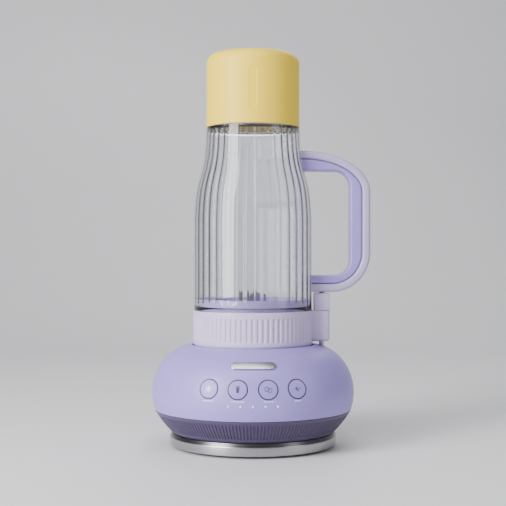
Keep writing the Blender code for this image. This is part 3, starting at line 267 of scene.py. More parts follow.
def revolved(name, profile, material, columns=120, shape=None, smooth=40):
    """Turns (radius, height) points about the blender's axis. An outline whose ends are on the axis
    is closed there; any other is joined end to end. shape(radius, height, angle) moves a point."""
    bm = bmesh.new()
    turns = [2 * math.pi * j / columns for j in range(columns)]
    rings = []
    for radius, height in profile:
        if radius < 1e-7:
            rings.append([bm.verts.new((axis.x, 0, height))] * columns)
            continue
        ring = []
        for turn in turns:
            r = shape(radius, height, turn) if shape else radius
            ring.append(bm.verts.new((axis.x + r * math.cos(turn), r * math.sin(turn), height)))
        rings.append(ring)
    pairs = list(zip(rings, rings[1:]))
    if profile[0][0] > 1e-7:
        pairs.append((rings[-1], rings[0]))
    for a, b in pairs:
        for j in range(columns):
            k = (j + 1) % columns
            corners = list(dict.fromkeys((a[j], a[k], b[k], b[j])))
            if len(corners) > 2:
                bm.faces.new(corners)
    return finished(name, bm, material, smooth)


def arc(centre, size, start, end, steps):
    """Points on a circle between two angles in degrees, both ends included; a pair of sizes makes
    it an ellipse."""
    across, rise = size if isinstance(size, tuple) else (size, size)
    angles = [math.radians(start + (end - start) * i / steps) for i in range(steps + 1)]
    return [(centre[0] + across * math.cos(a), centre[1] + rise * math.sin(a)) for a in angles]


def dome_radius_at(height):
    return crown_radius + swell * math.cos(math.asin((height - belly) / crown_rise))


def dome_frame(azimuth, height):
    """A place on the dome: Z points out of it, Y up along it, and X around it."""
    rise = math.asin((height - belly) / crown_rise)
    lean = math.atan2(swell * math.sin(rise), crown_rise * math.cos(rise))
    out = Matrix.Translation((0, -dome_radius_at(height), height))
    turn = Matrix.Translation(axis) @ Matrix.Rotation(azimuth, 4, "Z")
    return turn @ out @ Matrix.Rotation(math.pi / 2 - lean, 4, "X")


def take_away(target, *cutters):
    """Cuts pieces out of a mesh for good."""
    for cutter in cutters:
        step = target.modifiers.new("cut", "BOOLEAN")
        step.operation, step.object, step.solver = "DIFFERENCE", cutter, "EXACT"
    bpy.context.view_layer.update()
    graph = bpy.context.evaluated_depsgraph_get()
    mesh = bpy.data.meshes.new_from_object(target.evaluated_get(graph))
    target.modifiers.clear()
    target.data = mesh
    for cutter in cutters:
        bpy.data.objects.remove(cutter)
    smoothed(mesh, 35)
    return target


def pegs(name, radius, low, high, places, columns=48):
    bm = bmesh.new()
    for place in places:
        shift = place @ Matrix.Translation((0, 0, (low + high) / 2))
        bmesh.ops.create_cone(bm, cap_ends=True, segments=columns, radius1=radius, radius2=radius,
                              depth=high - low, matrix=shift)
    return finished(name, bm, None)


lavender = moulded("satin_lavender", LAVENDER, 0.40, Coat_Weight=0.12, Coat_Roughness=0.35)
button_level = 0.0533
button_radius = 0.0072
button_turns = [math.radians(16.2) * (i - 1.5) for i in range(4)]
lamp_level = 0.0410
lamp_turns = [math.radians(6.6) * (i - 2) for i in range(5)]
rod_low, rod_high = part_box("interlock_rod")
rod_place = Matrix.Translation(((rod_low.x + rod_high.x) / 2, 0, 0))

crown_end = math.degrees(math.acos((well_radius + 0.0006 - crown_radius) / swell))
edge_start = math.degrees(math.asin((shell_edge - belly) / crown_rise))
wall = 0.0024
dome_line = [(hub_bore, well_floor), (well_radius - 0.0004, well_floor)]
dome_line += [(well_radius, well_floor + 0.0004)]
dome_line += [(well_radius, shell_high.z - 0.0009), (well_radius + 0.0002, shell_high.z - 0.0003)]
dome_line += arc((crown_radius, belly), (swell, crown_rise), crown_end, edge_start, 44)
dome_line += arc((crown_radius, belly), (swell - wall, crown_rise - wall), edge_start - 1.2, 74, 16)
dome_line += [(well_radius + wall, well_floor - wall), (hub_bore, well_floor - wall)]
dome = revolved("dome", dome_line, lavender, 180)
button_places = [dome_frame(turn, button_level) for turn in button_turns]
lamp_places = [dome_frame(turn, lamp_level) for turn in lamp_turns]
take_away(
    dome,
    pegs("button_bores", button_radius + 0.0004, -0.006, 0.004, button_places, 64),
    pegs("lamp_bores", 0.0009, -0.006, 0.004, lamp_places, 24),
    pegs("plunger_bore", 0.0028, 0.060, 0.090, [rod_place], 32),
)
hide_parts("base_shell")
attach(dome, "base")

# -------------------- the push buttons
# Four caps of the shell's own lavender plastic. Each is crowned to carry on the dome's curve and has a
# small printed sign in its middle. A dark ring inside each cap's edge is painted shade for the gap round the
# button.

HORIZONTAL_BEND = 0.0807  # radii of the dome's curve where the buttons are
UPRIGHT_BEND = 0.0400


def crowned(point):
    """Drops a point of a flat piece to the dome's curve around the middle of a button."""
    return -point.x**2 / (2 * HORIZONTAL_BEND) - point.y**2 / (2 * UPRIGHT_BEND)


def laid_on(obj, place):
    """Bends a piece drawn in a button's own XY plane to the dome, and puts it in place."""
    for vertex in obj.data.vertices:
        vertex.co.z += crowned(vertex.co)
    obj.data.transform(place)
    return obj


def skin(bm, rings, ends=True):
    """Joins rings of points in turn, and closes the first and the last."""
    count = len(rings[0])
    for a, b in zip(rings, rings[1:]):
        for j in range(count):
            bm.faces.new((a[j], a[(j + 1) % count], b[(j + 1) % count], b[j]))
    if ends:
        bm.faces.new(rings[0])
        bm.faces.new(rings[-1])


def spun(bm, line, columns, place=Matrix()):
    """Turns (radius, height) points about the Z of place into a closed skin."""
    turns = [2 * math.pi * j / columns for j in range(columns)]
    rings = []
    for r, z in line:
        rings.append([bm.verts.new(place @ Vector((r * math.cos(a), r * math.sin(a), z))) for a in turns])
    skin(bm, rings)


def disc_cap(name, radius, top, depth, material):
    """A round cap as rings of points: a crown, a rounded edge and a side."""
    bm = bmesh.new()
    edge = 0.0006
    line = [(radius * i / 8 * 0.9, top) for i in range(1, 8)] + [(radius - edge, top)]
    line += [(radius - edge + edge * math.sin(a), top - edge + edge * math.cos(a))
             for a in (math.radians(30), math.radians(60), math.radians(90))]
    line += [(radius, -depth), (radius * 0.4, -depth)]
    spun(bm, line, 64)
    return finished(name, bm, material)


def flat_piece(name, outlines, low, high, material):
    """Thin printed or inlaid shapes: flat outlines, filled and given a thickness."""
    curve = bpy.data.curves.new(name, "CURVE")
    curve.dimensions = "2D"
    curve.fill_mode = "BOTH"
    curve.extrude = (high - low) / 2
    for outline in outlines:
        line = curve.splines.new("POLY")
        line.points.add(len(outline) - 1)
        line.use_cyclic_u = True
        for point, (x, y) in zip(line.points, outline):
            point.co = (x, y, 0, 1)
    drawn = bpy.data.objects.new(name + "_line", curve)
    bpy.context.scene.collection.objects.link(drawn)
    bpy.context.view_layer.update()
    mesh = bpy.data.meshes.new_from_object(drawn.evaluated_get(bpy.context.evaluated_depsgraph_get()))
    bpy.data.objects.remove(drawn)
    bm = bmesh.new()
    bm.from_mesh(mesh)
    bmesh.ops.remove_doubles(bm, verts=bm.verts, dist=1e-7)
    bmesh.ops.translate(bm, vec=(0, 0, (low + high) / 2), verts=bm.verts)
    return finished(name, bm, material, 30)


def circle(radius, at=(0, 0)):
    points = 64
    return arc(at, radius, 0, 360 * (points - 1) / points, points - 1)


def star_sign():
    """Six short arms, with a notch between each two."""
    points = []
    for i in range(6):
        middle = math.pi / 3 * i + math.pi / 2
        for turn, reach in ((-0.13, 0.0025), (0.13, 0.0025), (math.pi / 6, 0.00075)):
            points.append((reach * math.cos(middle + turn), reach * math.sin(middle + turn)))
    return [points]


def tumbler_sign():
    """A tapered tumbler with a lid."""
    glass = [(-0.0014, 0.0014), (0.0014, 0.0014), (0.0009, -0.0024), (-0.0009, -0.0024)]
    lid = [(-0.0017, 0.0017), (0.0017, 0.0017), (0.0013, 0.0025), (-0.0013, 0.0025)]
    return [glass, lid]


def pair_sign():
    """Two rings side by side that share a little of their width."""
    left, right = (-0.0010, 0.0003), (0.0011, -0.0005)
    outer, inner = 0.0018, 0.0014
    return [line for at in (left, right) for line in (circle(outer, at), circle(inner, at)[::-1])]


def stroke(points, width):
    """The outline of a line of this width through the points."""
    left, right = [], []
    for i, point in enumerate(points):
        before = Vector(points[max(i - 1, 0)])
        after = Vector(points[min(i + 1, len(points) - 1)])
        side = (after - before).normalized().orthogonal() * width / 2
        left.append(tuple(Vector(point) + side))
        right.append(tuple(Vector(point) - side))
    return [left + right[::-1]]


def pulse_sign():
    """A line that jumps up and down once."""
    beat = [(-0.0027, 0.0), (-0.0014, 0.0), (-0.0006, 0.0017)]
    beat += [(0.0004, -0.0019), (0.0012, 0.0003), (0.0027, 0.0003)]
    return stroke(beat, 0.0005)


# The dark finish is real print on the signs, and painted shade on the ring inside each button's edge.
dark_print_and_gap_shade = moulded("dark_pad_print_and_gap_shade", (0.060, 0.052, 0.090), 0.45, mottle=0.05)
white_print = moulded("white_pad_print", (0.86, 0.86, 0.90), 0.45, mottle=0.02)
button_cap = moulded("button_lavender", shade(LAVENDER, 0.98), 0.40, Coat_Weight=0.1, Coat_Roughness=0.3)
signs = {
    "crush": (star_sign(), white_print),
    "smoothie": (tumbler_sign(), dark_print_and_gap_shade),
    "mix": (pair_sign(), dark_print_and_gap_shade),
    "pulse": (pulse_sign(), dark_print_and_gap_shade),
}
for (word, (outlines, ink)), place in zip(signs.items(), button_places):
    cap = laid_on(disc_cap(word + "_cap", button_radius, 0.00025, 0.0030, button_cap), place)
    # A dark ring inside the cap's edge: painted shade for the shadow in the gap between button and shell.
    rim = [circle(button_radius - 0.00002), circle(button_radius - 0.00048)[::-1]]
    gap_shade_ring = laid_on(flat_piece(word + "_ring", rim, -0.0003, 0.00028, dark_print_and_gap_shade), place)
    sign = laid_on(flat_piece(word + "_sign", outlines, 0.0001, 0.00033, ink), place)
    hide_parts(word + "_button")
    sign_slot = "white_plastic" if ink is white_print else "black_plastic"
    for piece, slot in ((cap, "lavender_plastic"), (gap_shade_ring, "black_plastic"), (sign, sign_slot)):
        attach(piece, word + "_button")

# -------------------- lamps and captions
# Five white lamps shine through the shell from one light pipe. The caption under each button is a
# row of short white dashes with no letters, pad-printed on the shell.


def lamp_finish():
    made = Finish("lamp_white", (0.90, 0.90, 0.93), 0.3)
    glow = made.noise(made.place(), 900.0)
    made.shader.inputs["Emission Strength"].default_value = 0.7
    return made.feed(Emission_Color=made.mixed(glow, (0.85, 0.86, 0.95), (1.0, 1.0, 1.0))).material


lamp_white = lamp_finish()


def lamp_post(bm, place):
    """A short rod with a rounded tip."""
    radius, tip = 0.00065, 0.0003
    line = [(radius, -0.0070), (radius, tip * 0.2), (radius * 0.8, tip * 0.75), (radius * 0.4, tip)]
    spun(bm, line, 20, place)


bm = bmesh.new()
for place in lamp_places:
    lamp_post(bm, place)
lamps = finished("lamp_tips", bm, lamp_white)
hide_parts("light_pipe")
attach(lamps, "base")


def pill(width, height, points=10):
    """The outline of a bar with round ends."""
    half = (width - height) / 2
    return arc((half, 0), height / 2, -90, 90, points) + arc((-half, 0), height / 2, 90, 270, points)


def dashed(width, height, dash, space):
    """A row of short bars that fills this width."""
    count = max(1, round((width + space) / (dash + space)))
    step = width / count
    middles = [-width / 2 + step * (i + 0.5) for i in range(count)]
    return [[(x + middle, y) for x, y in pill(step - space, height, 4)] for middle in middles]


caption_widths = (0.0076, 0.0104, 0.0076, 0.0052)
caption_level, caption_height, dash_length, dash_space = 0.0447, 0.0011, 0.0011, 0.0003
for i, (turn, width) in enumerate(zip(button_turns, caption_widths)):
    dashes = dashed(width, caption_height, dash_length, dash_space)
    marks = flat_piece(f"caption_{i + 1}", dashes, -0.0001, 0.00008, white_print)
    laid_on(marks, dome_frame(turn, caption_level))
    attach(marks, "base")

# -------------------- the badge
# A thin pill of brushed aluminium with a bevelled rim, pressed to the dome's curve and stuck on
# above the buttons. It carries no mark.


def brushed(name, colour, roughness, along, across, depth=0.00003, painted_shade_above=None):
    """Brushed metal: long fine scratches, much closer together across the brush than along it.
    Above a given height its colour is darkened: painted shade that stands for the dark skirt the bevel
    reflects."""
    made = Finish(name, colour, roughness, Metallic=1.0)
    place = made.place()
    fine = made.noise(made.stretched(place, (along, along, across)), 1.0, 3.0, 0.65)
    cloud = made.noise(place, 55.0)
    # Above that height the streaks are pulled darker: painted shade for the dark skirt reflected in the
    # bevel.
    streaks_and_painted_shade = fine if painted_shade_above is None else fine - (made.coordinate(place, "Z") > painted_shade_above) * 1.4
    made.feed(Base_Color=made.mixed(streaks_and_painted_shade.ramp(-1.0, 1.0), shade(colour, 0.28), shade(colour, 1.30)))
    made.feed(Roughness=fine * 0.22 + cloud * 0.08 + (roughness - 0.14))
    return made.bumped(fine, 0.5, depth).material


def on_dome(azimuth, rise, lift):
    """A point at this turn and rise on the dome, lifted off it."""
    lean = math.atan2(swell * math.sin(rise), crown_rise * math.cos(rise))
    radius = crown_radius + swell * math.cos(rise) + lift * math.cos(lean)
    height = belly + crown_rise * math.sin(rise) + lift * math.sin(lean)
    return (axis.x + radius * math.sin(azimuth), -radius * math.cos(azimuth), height)


def badge_plate(width, height, level, thickness):
    """Rings of a pill shape, each drawn in a little and raised, which makes the bevelled rim."""
    middle = math.asin((level - belly) / crown_rise)
    slope = math.hypot(swell * math.sin(middle), crown_rise * math.cos(middle))
    radius = dome_radius_at(level)
    steps = [(0, 0.0004), (0, thickness * 0.6), (0.0001, thickness * 0.85), (0.0004, thickness)]
    steps += [(0.0009, thickness), (0.0017, thickness), (0.0026, thickness)]
    bm = bmesh.new()
    rings = []
    for inset, lift in steps:
        outline = spread(pill(width - 2 * inset, height - 2 * inset, 16))
        points = [on_dome(x / radius, middle + y / slope, lift) for x, y in outline]
        rings.append([bm.verts.new(point) for point in points])
    skin(bm, rings, ends=False)
    count = len(rings[0])
    for ring in (rings[0], rings[-1]):
        for j in range(count // 2 - 1):
            bm.faces.new((ring[j], ring[j + 1], ring[count - 2 - j], ring[count - 1 - j]))
    badge_metal = brushed("badge_aluminium", (0.43, 0.42, 0.47), 0.24, 90.0, 9000.0, 0.000012)
    return finished("badge_plate", bm, badge_metal, 25)


def spread(outline):
    """Adds points along the two straight sides of a pill, an even number in all."""
    each = 12
    cap = len(outline) // 2
    right, left = outline[:cap], outline[cap:]
    along = [i / each for i in range(1, each)]
    top = [tuple(Vector(right[-1]).lerp(Vector(left[0]), t)) for t in along]
    low = [tuple(Vector(left[-1]).lerp(Vector(right[0]), t)) for t in along]
    ends = right + top + left + low
    start = cap // 2
    return ends[start:] + ends[:start]


badge_width, badge_height, badge_level, badge_thickness = 0.0334, 0.0066, 0.0695, 0.0012
plate = badge_plate(badge_width, badge_height, badge_level, badge_thickness)
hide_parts("badge")
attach(plate, "base")

# -------------------- the vented skirt
# A dark purple moulding under the dome. Fine upright ribs run all round it between two smooth
# margins, and the cooling air passes between them.

skirt_wall = 0.0020
skirt_top_radius = (skirt_high.y - skirt_low.y) / 2
skirt_foot_radius = 0.0648
skirt_bulge = 0.0008
skirt_rise = skirt_high.z - skirt_low.z
rib_count = 180


def skirt_radius(height):
    """The skirt's outside: a cone that bulges a little between its ends."""
    share = (height - skirt_low.z) / skirt_rise
    straight = skirt_foot_radius + (skirt_top_radius - skirt_foot_radius) * share
    return straight + skirt_bulge * math.sin(math.pi * share)


def eased(value):
    """0 below 0, 1 above 1, and smooth between."""
    value = min(max(value, 0.0), 1.0)
    return value * value * (3 - 2 * value)


def ribbed(radius, height, turn):
    """Draws the outer face in between the ribs, away from the margins and the cord's inlet."""
    if radius < skirt_radius(height) - skirt_wall / 2:
        return radius
    margin, plain_back, rib_depth = 0.0022, 0.0100, 0.0008
    fade = eased((height - skirt_low.z - margin) / 0.0008)
    fade *= eased((skirt_high.z - margin - height) / 0.0008)
    back = abs(turn - math.pi / 2) * radius
    fade *= eased((back - plain_back) / 0.0006)
    wave = 0.5 - 0.5 * math.cos(turn * rib_count)
    return radius - rib_depth * fade * eased(wave * 1.6 - 0.3)


heights = [skirt_high.z - 0.00001]
heights += [skirt_high.z - skirt_rise * i / 26 for i in range(1, 26)]
heights += [skirt_low.z + 0.00001]
outer_line = [(skirt_radius(z) - (0.0003 if i in (0, 26) else 0), z) for i, z in enumerate(heights)]
inner_line = [(skirt_radius(z) - skirt_wall, z) for z in (heights[-1], heights[13], heights[0])]
skirt_purple = moulded("skirt_purple", (0.064, 0.044, 0.108), 0.44, mottle=0.06, Coat_Weight=0.08)
skirt = revolved("skirt", outer_line + inner_line, skirt_purple, rib_count * 6, ribbed, 50)
inlet_low, inlet_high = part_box("cord_inlet")
inlet_middle = (inlet_low + inlet_high) / 2
along_y = Matrix.Translation((axis.x, 0, inlet_middle.z)) @ Matrix.Rotation(-math.pi / 2, 4, "X")
take_away(skirt, pegs("inlet_bore", 0.0068, 0.055, 0.090, [along_y], 48))
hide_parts("vent_skirt")
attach(skirt, "base")

# -------------------- the silver ring
# A spun aluminium ring that dresses the foot of the base: a brushed upright face and a steep bevel above
# it, pressed over the bottom plate. The bevel's colour is painted darker: painted shade for the dark skirt it
# reflects.

ring_radius, ring_wall = ring_high.y, 0.0036
ring_line = [(ring_radius - ring_wall, ring_high.z), (ring_radius - 0.0014, ring_high.z)]
ring_line += [(ring_radius - 0.0011, ring_high.z - 0.0002), (ring_radius - 0.00015, ring_high.z - 0.0027)]
ring_line += arc((ring_radius - 0.0004, ring_high.z - 0.0033), 0.0004, 35, 0, 3)
ring_line += arc((ring_radius - 0.0005, ring_low.z + 0.0005), 0.0005, 0, -90, 4)
ring_line += [(ring_radius - ring_wall, ring_low.z)]
bevel_foot = ring_high.z - 0.0028
# Above bevel_foot the ring's colour is darkened: painted shade for the skirt reflected in the bevel.
ring_metal = brushed("ring_aluminium", (0.40, 0.39, 0.41), 0.27, 45.0, 7000.0, painted_shade_above=bevel_foot)
ring = revolved("foot_ring", ring_line, ring_metal, 200, None, 25)
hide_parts("base_ring")
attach(ring, "base")

# -------------------- underneath: plate, feet, screws, inlet
# A black plate closes the base; four soft rubber feet with a grip groove are stuck to it, and four
# screws pass up into the dome's bosses. The lead's gland is a ribbed black grommet at the back.

black = moulded("black_plastic", (0.028, 0.027, 0.032), 0.48, mottle=0.10)
rubber = moulded("black_rubber", (0.045, 0.044, 0.048), 0.78, grain=1500.0, mottle=0.12)
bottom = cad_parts["bottom_plate"]
bottom.data.materials.clear()
bottom.data.materials.append(black)


def turned_at(name, line, place, material, columns=48):
    """A small turned piece, drawn about its own axis and put in place."""
    made = revolved(name, line, material, columns)
    made.data.transform(place @ Matrix.Translation(-axis))
    return made


for i in range(1, 5):
    low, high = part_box(f"foot_{i}")
    radius = (high.x - low.x) / 2
    line = [(0, high.z), (radius - 0.0002, high.z), (radius, high.z - 0.0002), (radius, low.z + 0.0007)]
    line += arc((radius - 0.0007, low.z + 0.0007), 0.0007, 0, -90, 4)
    line += [(radius * 0.62, low.z), (radius * 0.58, low.z + 0.0004), (radius * 0.48, low.z + 0.0004)]
    line += [(radius * 0.44, low.z), (0, low.z)]
    place = Matrix.Translation(((low.x + high.x) / 2, (low.y + high.y) / 2, 0))
    pad = turned_at(f"rubber_foot_{i}", line, place, rubber)
    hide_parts(f"foot_{i}")
    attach(pad, "base")

gland_back = inlet_high.y
bore, sleeve_radius, flange_radius = 0.0034, 0.0065, 0.0082
gland_line = [(bore + 0.0005, gland_back), (flange_radius - 0.0012, gland_back)]
gland_line += arc((flange_radius - 0.0010, gland_back - 0.0010), 0.0010, 90, 0, 4)
gland_line += [(flange_radius, gland_back - 0.0018), (sleeve_radius, gland_back - 0.0018)]
gland_line += [(sleeve_radius, inlet_low.y), (bore, inlet_low.y), (bore, gland_back - 0.0005)]
gland = turned_at("inlet_gland", gland_line, along_y, rubber, 64)
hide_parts("cord_inlet")
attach(gland, "base")

# -------------------- motor, boards and seals
# The universal motor and its boards inside the base: bare laminations, enamelled copper, turned
# steel and green circuit board. They keep the frame's own shapes and take their real finishes.


def machined(name, colour, roughness):
    """Turned or ground metal with fine tool marks and a little tarnish."""
    made = Finish(name, colour, roughness, Metallic=1.0)
    place = made.place()
    marks = made.noise(made.stretched(place, (1.0, 1.0, 9.0)), 700.0, 2.0)
    stain = made.noise(place, 120.0, 3.0)
    made.feed(Base_Color=made.mixed(stain, shade(colour, 0.86), shade(colour, 1.08)))
    made.feed(Roughness=marks * 0.18 + (roughness - 0.08))
    return made.bumped(marks, 0.3, 0.00002).material


def laminated():
    """Stacked iron sheets: fine dark lines across the stack."""
    made = Finish("iron_laminations", (0.24, 0.24, 0.25), 0.5, Metallic=0.9)
    sheet = 0.0007
    z = made.coordinate(made.place(), "Z")
    lines = (z * (2 * math.pi / sheet)).sine() * 0.5 + 0.5
    made.feed(Base_Color=made.mixed(lines, (0.12, 0.12, 0.13), (0.30, 0.30, 0.31)))
    return made.bumped(lines, 0.5, 0.00006).material


def wound():
    """Enamelled copper wire laid side by side."""
    made = Finish("copper_windings", (0.60, 0.24, 0.10), 0.3, Metallic=0.85)
    wire, lean = 0.0009, 0.15
    place = made.place()
    across = made.coordinate(place, "Z") + made.coordinate(place, "X") * lean
    lines = (across * (2 * math.pi / wire)).sine() * 0.5 + 0.5
    made.feed(Base_Color=made.mixed(lines, (0.30, 0.10, 0.045), (0.74, 0.33, 0.15)))
    return made.bumped(lines, 0.7, 0.00012).material


def circuit_board():
    """Green lacquer over copper tracks."""
    made = Finish("circuit_board", (0.02, 0.14, 0.06), 0.35)
    tracks = made.noise(made.place(), 420.0, 1.0) > 0.56
    made.feed(Base_Color=made.mixed(tracks, (0.016, 0.110, 0.046), (0.040, 0.260, 0.110)))
    return made.bumped(tracks, 0.4, 0.00004).material


steel = machined("turned_steel", (0.60, 0.60, 0.62), 0.26)
brass = machined("sintered_bronze", (0.62, 0.42, 0.20), 0.35)
silicone = moulded("pale_silicone", (0.66, 0.64, 0.72), 0.58, grain=900.0, mottle=0.05)
white_nylon = moulded("white_nylon", (0.74, 0.74, 0.78), 0.42, mottle=0.03)
carried = {
    laminated(): ["stator", "armature", "upper_bracket", "lower_bracket"],
    wound(): ["field_coil_left", "field_coil_right"],
    circuit_board(): ["control_board", "power_board"],
    steel: ["motor_shaft", "upper_bearing", "lower_bearing", "blade_shaft", "interlock_spring"]
    + [f"base_screw_{i}" for i in range(1, 5)],
    brass: ["commutator", "brush_holder_left", "brush_holder_right", "upper_bush", "lower_bush"],
    silicone: ["shaft_drip_seal", "shaft_seal", "cup_seal", "lid_seal"],
    black: ["cooling_fan", "drive_coupler", "driven_coupler"],
    white_nylon: ["interlock_plunger", "interlock_rod"],
}
for material, nodes in carried.items():
    for node in nodes:
        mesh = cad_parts[node].data
        mesh.materials.clear()
        mesh.materials.append(material)
        smoothed(mesh, 35)

# -------------------- the blade base's ring
# A pale lavender-grey moulding that the cup screws into. Narrow upright grooves with round ends,
# seventy-two to a full turn, give a grip and stop short of the tab. Its lower edge is well rounded.

collar_low, collar_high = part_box("blade_collar")
collar_radius = collar_high.y
collar_bottom, collar_top = collar_low.z, collar_high.z
groove_low, groove_high = collar_bottom + 0.0066, collar_top - 0.0048
GROOVE_HALF = 0.00110
groove_count = 72
groove_pitch = 2 * math.pi / groove_count


def grooved(radius, height, turn):
    """Draws the ring's face in along each groove; the grooves stop short of the tab."""
    tab_angle, groove_depth = 0.26, 0.00065
    if radius < collar_radius - 0.0002 or abs(math.remainder(turn, 2 * math.pi)) < tab_angle:
        return radius
    across = (turn / groove_pitch - round(turn / groove_pitch)) * groove_pitch * radius
    past = max(groove_low + GROOVE_HALF - height, height - groove_high + GROOVE_HALF, 0)
    away = math.hypot(across, past) / GROOVE_HALF
    return radius - groove_depth * eased((1.1 - away) / 0.45)


collar_bore = collar_radius - 0.0015
fillet = 0.0050
lower_pitch, lid_pitch = 0.0065, 0.0080
face = [collar_top - 0.0006, groove_high + 0.0008, groove_high + 0.0003, groove_high]
face += [groove_high - 0.0003, groove_high - 0.0006, groove_high - 0.0010]
span = groove_high - groove_low
face += [groove_high - span * share for share in (0.2, 0.4, 0.6, 0.8)]
face += [groove_low + 0.0010, groove_low + 0.0006, groove_low + 0.0003, groove_low]
face += [groove_low - 0.0003, groove_low - 0.0008]
collar_line = [(collar_bore, collar_top - 0.0002), (collar_bore + 0.0002, collar_top)]
collar_line += arc((collar_radius - 0.0005, collar_top - 0.0005), 0.0005, 90, 15, 3)
collar_line += [(collar_radius, z) for z in face]
collar_line += arc((collar_radius - fillet, collar_bottom + fillet), fillet, 0, -90, 12)
web_low, web_high = collar_bottom + 0.0141, collar_bottom + 0.0165
lower_bore_radius, web_bore = 0.0400, 0.0173
collar_line += [(lower_bore_radius, collar_bottom), (lower_bore_radius, web_low)]
collar_line += [(web_bore, web_low), (web_bore, web_high), (collar_bore, web_high)]
pale = moulded("pale_collar", (0.590, 0.495, 0.735), 0.42, Coat_Weight=0.06)
collar_ring = revolved("collar_ring", collar_line, pale, groove_count * 12, grooved, 50)


def thread(name, root, crest, low, pitch, start, width, material):
    """One turn of rounded thread on a wall."""
    bm = bmesh.new()
    steps = 120
    sections = []
    for i in range(steps + 1):
        turn = start + 2 * math.pi * i / steps
        level = low + pitch * i / steps
        fade = min(1.0, 6 * i / steps, 6 * (steps - i) / steps)
        reach = root + (crest - root) * (0.35 + 0.65 * eased(fade))
        points = [(root, -1), (reach, -0.4), (reach, 0.4), (root, 1)]
        sections.append([bm.verts.new((axis.x + r * math.cos(turn), r * math.sin(turn), level + width * k))
                         for r, k in points])
    skin(bm, sections)
    return finished(name, bm, material)


neck_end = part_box("jar")[0].z
inner_thread = thread("collar_thread", collar_bore + 0.0004, collar_bore - 0.0010,
                      neck_end + 0.0017, lower_pitch, math.pi, 0.0014, pale)
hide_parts("blade_collar")
for piece in (collar_ring, inner_thread):
    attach(piece, "blade_base")

# -------------------- the tab: block and cover
# The block at the handle's side of the ring holds the safety rod. Its lower half is moulded with
# the ring; the upper half is a separate cover, clipped on over the rod's spring.


def soft_block(name, low, high, round_end, radius=0.0026):
    """A block whose outer half has well-rounded upright edges, and a rounded foot or head."""
    bm = bmesh.new()
    size, centre = high - low, (high + low) / 2
    bmesh.ops.create_cube(bm, size=1, matrix=Matrix.Translation(centre) @ Matrix.Diagonal((*size, 1)))
    end = low.z if round_end == "foot" else high.z
    soft = [e for e in bm.edges if any(v.co.x > centre.x for v in e.verts)
            and any(abs(v.co.z - end) < 1e-6 for v in e.verts)]
    bmesh.ops.bevel(bm, geom=soft, offset=radius, segments=8, profile=0.5, affect="EDGES")
    crisp = [e for e in bm.edges if len(e.link_faces) == 2 and e.calc_face_angle() > 1.2]
    bmesh.ops.bevel(bm, geom=crisp, offset=0.0003, segments=2, profile=0.5, affect="EDGES")
    return finished(name, bm, pale, 50)


tab_low = collar_bottom + 0.0051
half_tab, rod_bore = 0.0100, 0.0023
block = soft_block("tab_block", Vector((axis.x + collar_radius - 0.0012, -half_tab, tab_low)),
                   Vector((collar_high.x, half_tab, collar_top)), "foot")
cover_low, cover_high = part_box("tab_cover")
cover = soft_block("tab_cap", cover_low, cover_high, "head", 0.0010)
take_away(block, pegs("block_bore", rod_bore, tab_low - 0.01, collar_top + 0.01, [rod_place], 40))
tab_wall = Vector((0.0018, 0.0018, 0.0018))
open_foot = Vector((0, 0, 0.01))
inside = soft_block("cap_hollow", cover_low + tab_wall - open_foot, cover_high - tab_wall, "head", 0.0008)
take_away(cover, inside, pegs("cap_bore", rod_bore, cover_low.z, cover_high.z + 0.01, [rod_place], 40))
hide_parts("tab_cover")
for piece in (block, cover):
    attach(piece, "blade_base")

# -------------------- the blade platform
# A glossy purple dish that closes the cup's foot: a tall rim, a sloping floor with fine turning
# marks, and the tower that carries the bushes and the seal of the blades' shaft.

platform_low, platform_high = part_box("blade_platform")
flange_radius = platform_high.y
flange_low = neck_end - 0.0029
rim_radius, rim_top = 0.0422, platform_high.z
spigot_radius = 0.0169  # the short tube that passes down through the ring's web
tower_bore, tower_top = 0.0083, flange_low + 0.0118
tower_face = tower_bore + 0.0037
bowl_line = [(rim_radius - 0.0022, rim_top - 0.0004), (rim_radius - 0.0018, rim_top)]
bowl_line += [(rim_radius - 0.0004, rim_top), (rim_radius, rim_top - 0.0004)]
bowl_line += [(rim_radius, flange_low + 0.0012), (flange_radius, flange_low + 0.0012)]
bowl_line += [(flange_radius, flange_low), (spigot_radius, flange_low), (spigot_radius, platform_low.z)]
bowl_line += [(tower_bore, platform_low.z), (tower_bore, tower_top)]
bowl_line += arc((tower_face - 0.0004, tower_top - 0.0004), 0.0004, 90, 0, 3)
bowl_line += arc((tower_face + 0.0022, flange_low + 0.0080), 0.0022, 180, 260, 6)
bowl_line += arc((rim_radius - 0.0048, flange_low + 0.0062), 0.0026, 275, 358, 6)


def turned_plastic():
    """Glossy plastic with fine circular steps left by the mould's turning."""
    made = Finish("platform_purple", (0.62, 0.49, 0.94), 0.24, Coat_Weight=0.3, Coat_Roughness=0.12)
    step = 0.0009
    place = made.place()
    x, y = made.coordinate(place, "X"), made.coordinate(place, "Y")
    away = ((x - axis.x) ** 2 + y**2) ** 0.5
    rings = (away * (2 * math.pi / step)).sine() * 0.5 + 0.5
    cloud = made.noise(place, 70.0, 3.0)
    made.feed(Base_Color=made.mixed(cloud, (0.59, 0.46, 0.92), (0.66, 0.53, 0.97)))
    made.feed(Roughness=cloud * 0.10 + 0.20)
    return made.bumped(rings, 0.4, 0.00006).material


bowl = revolved("platform_dish", bowl_line, turned_plastic(), 120, None, 35)
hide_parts("blade_platform")
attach(bowl, "blade_base")

# -------------------- the blades and their nut
# Two pressed stainless blades, one bent up and one drooping, ground to a bright edge along one side
# of each arm, and a hexagonal nut with a chamfered top that clamps them to the shaft.


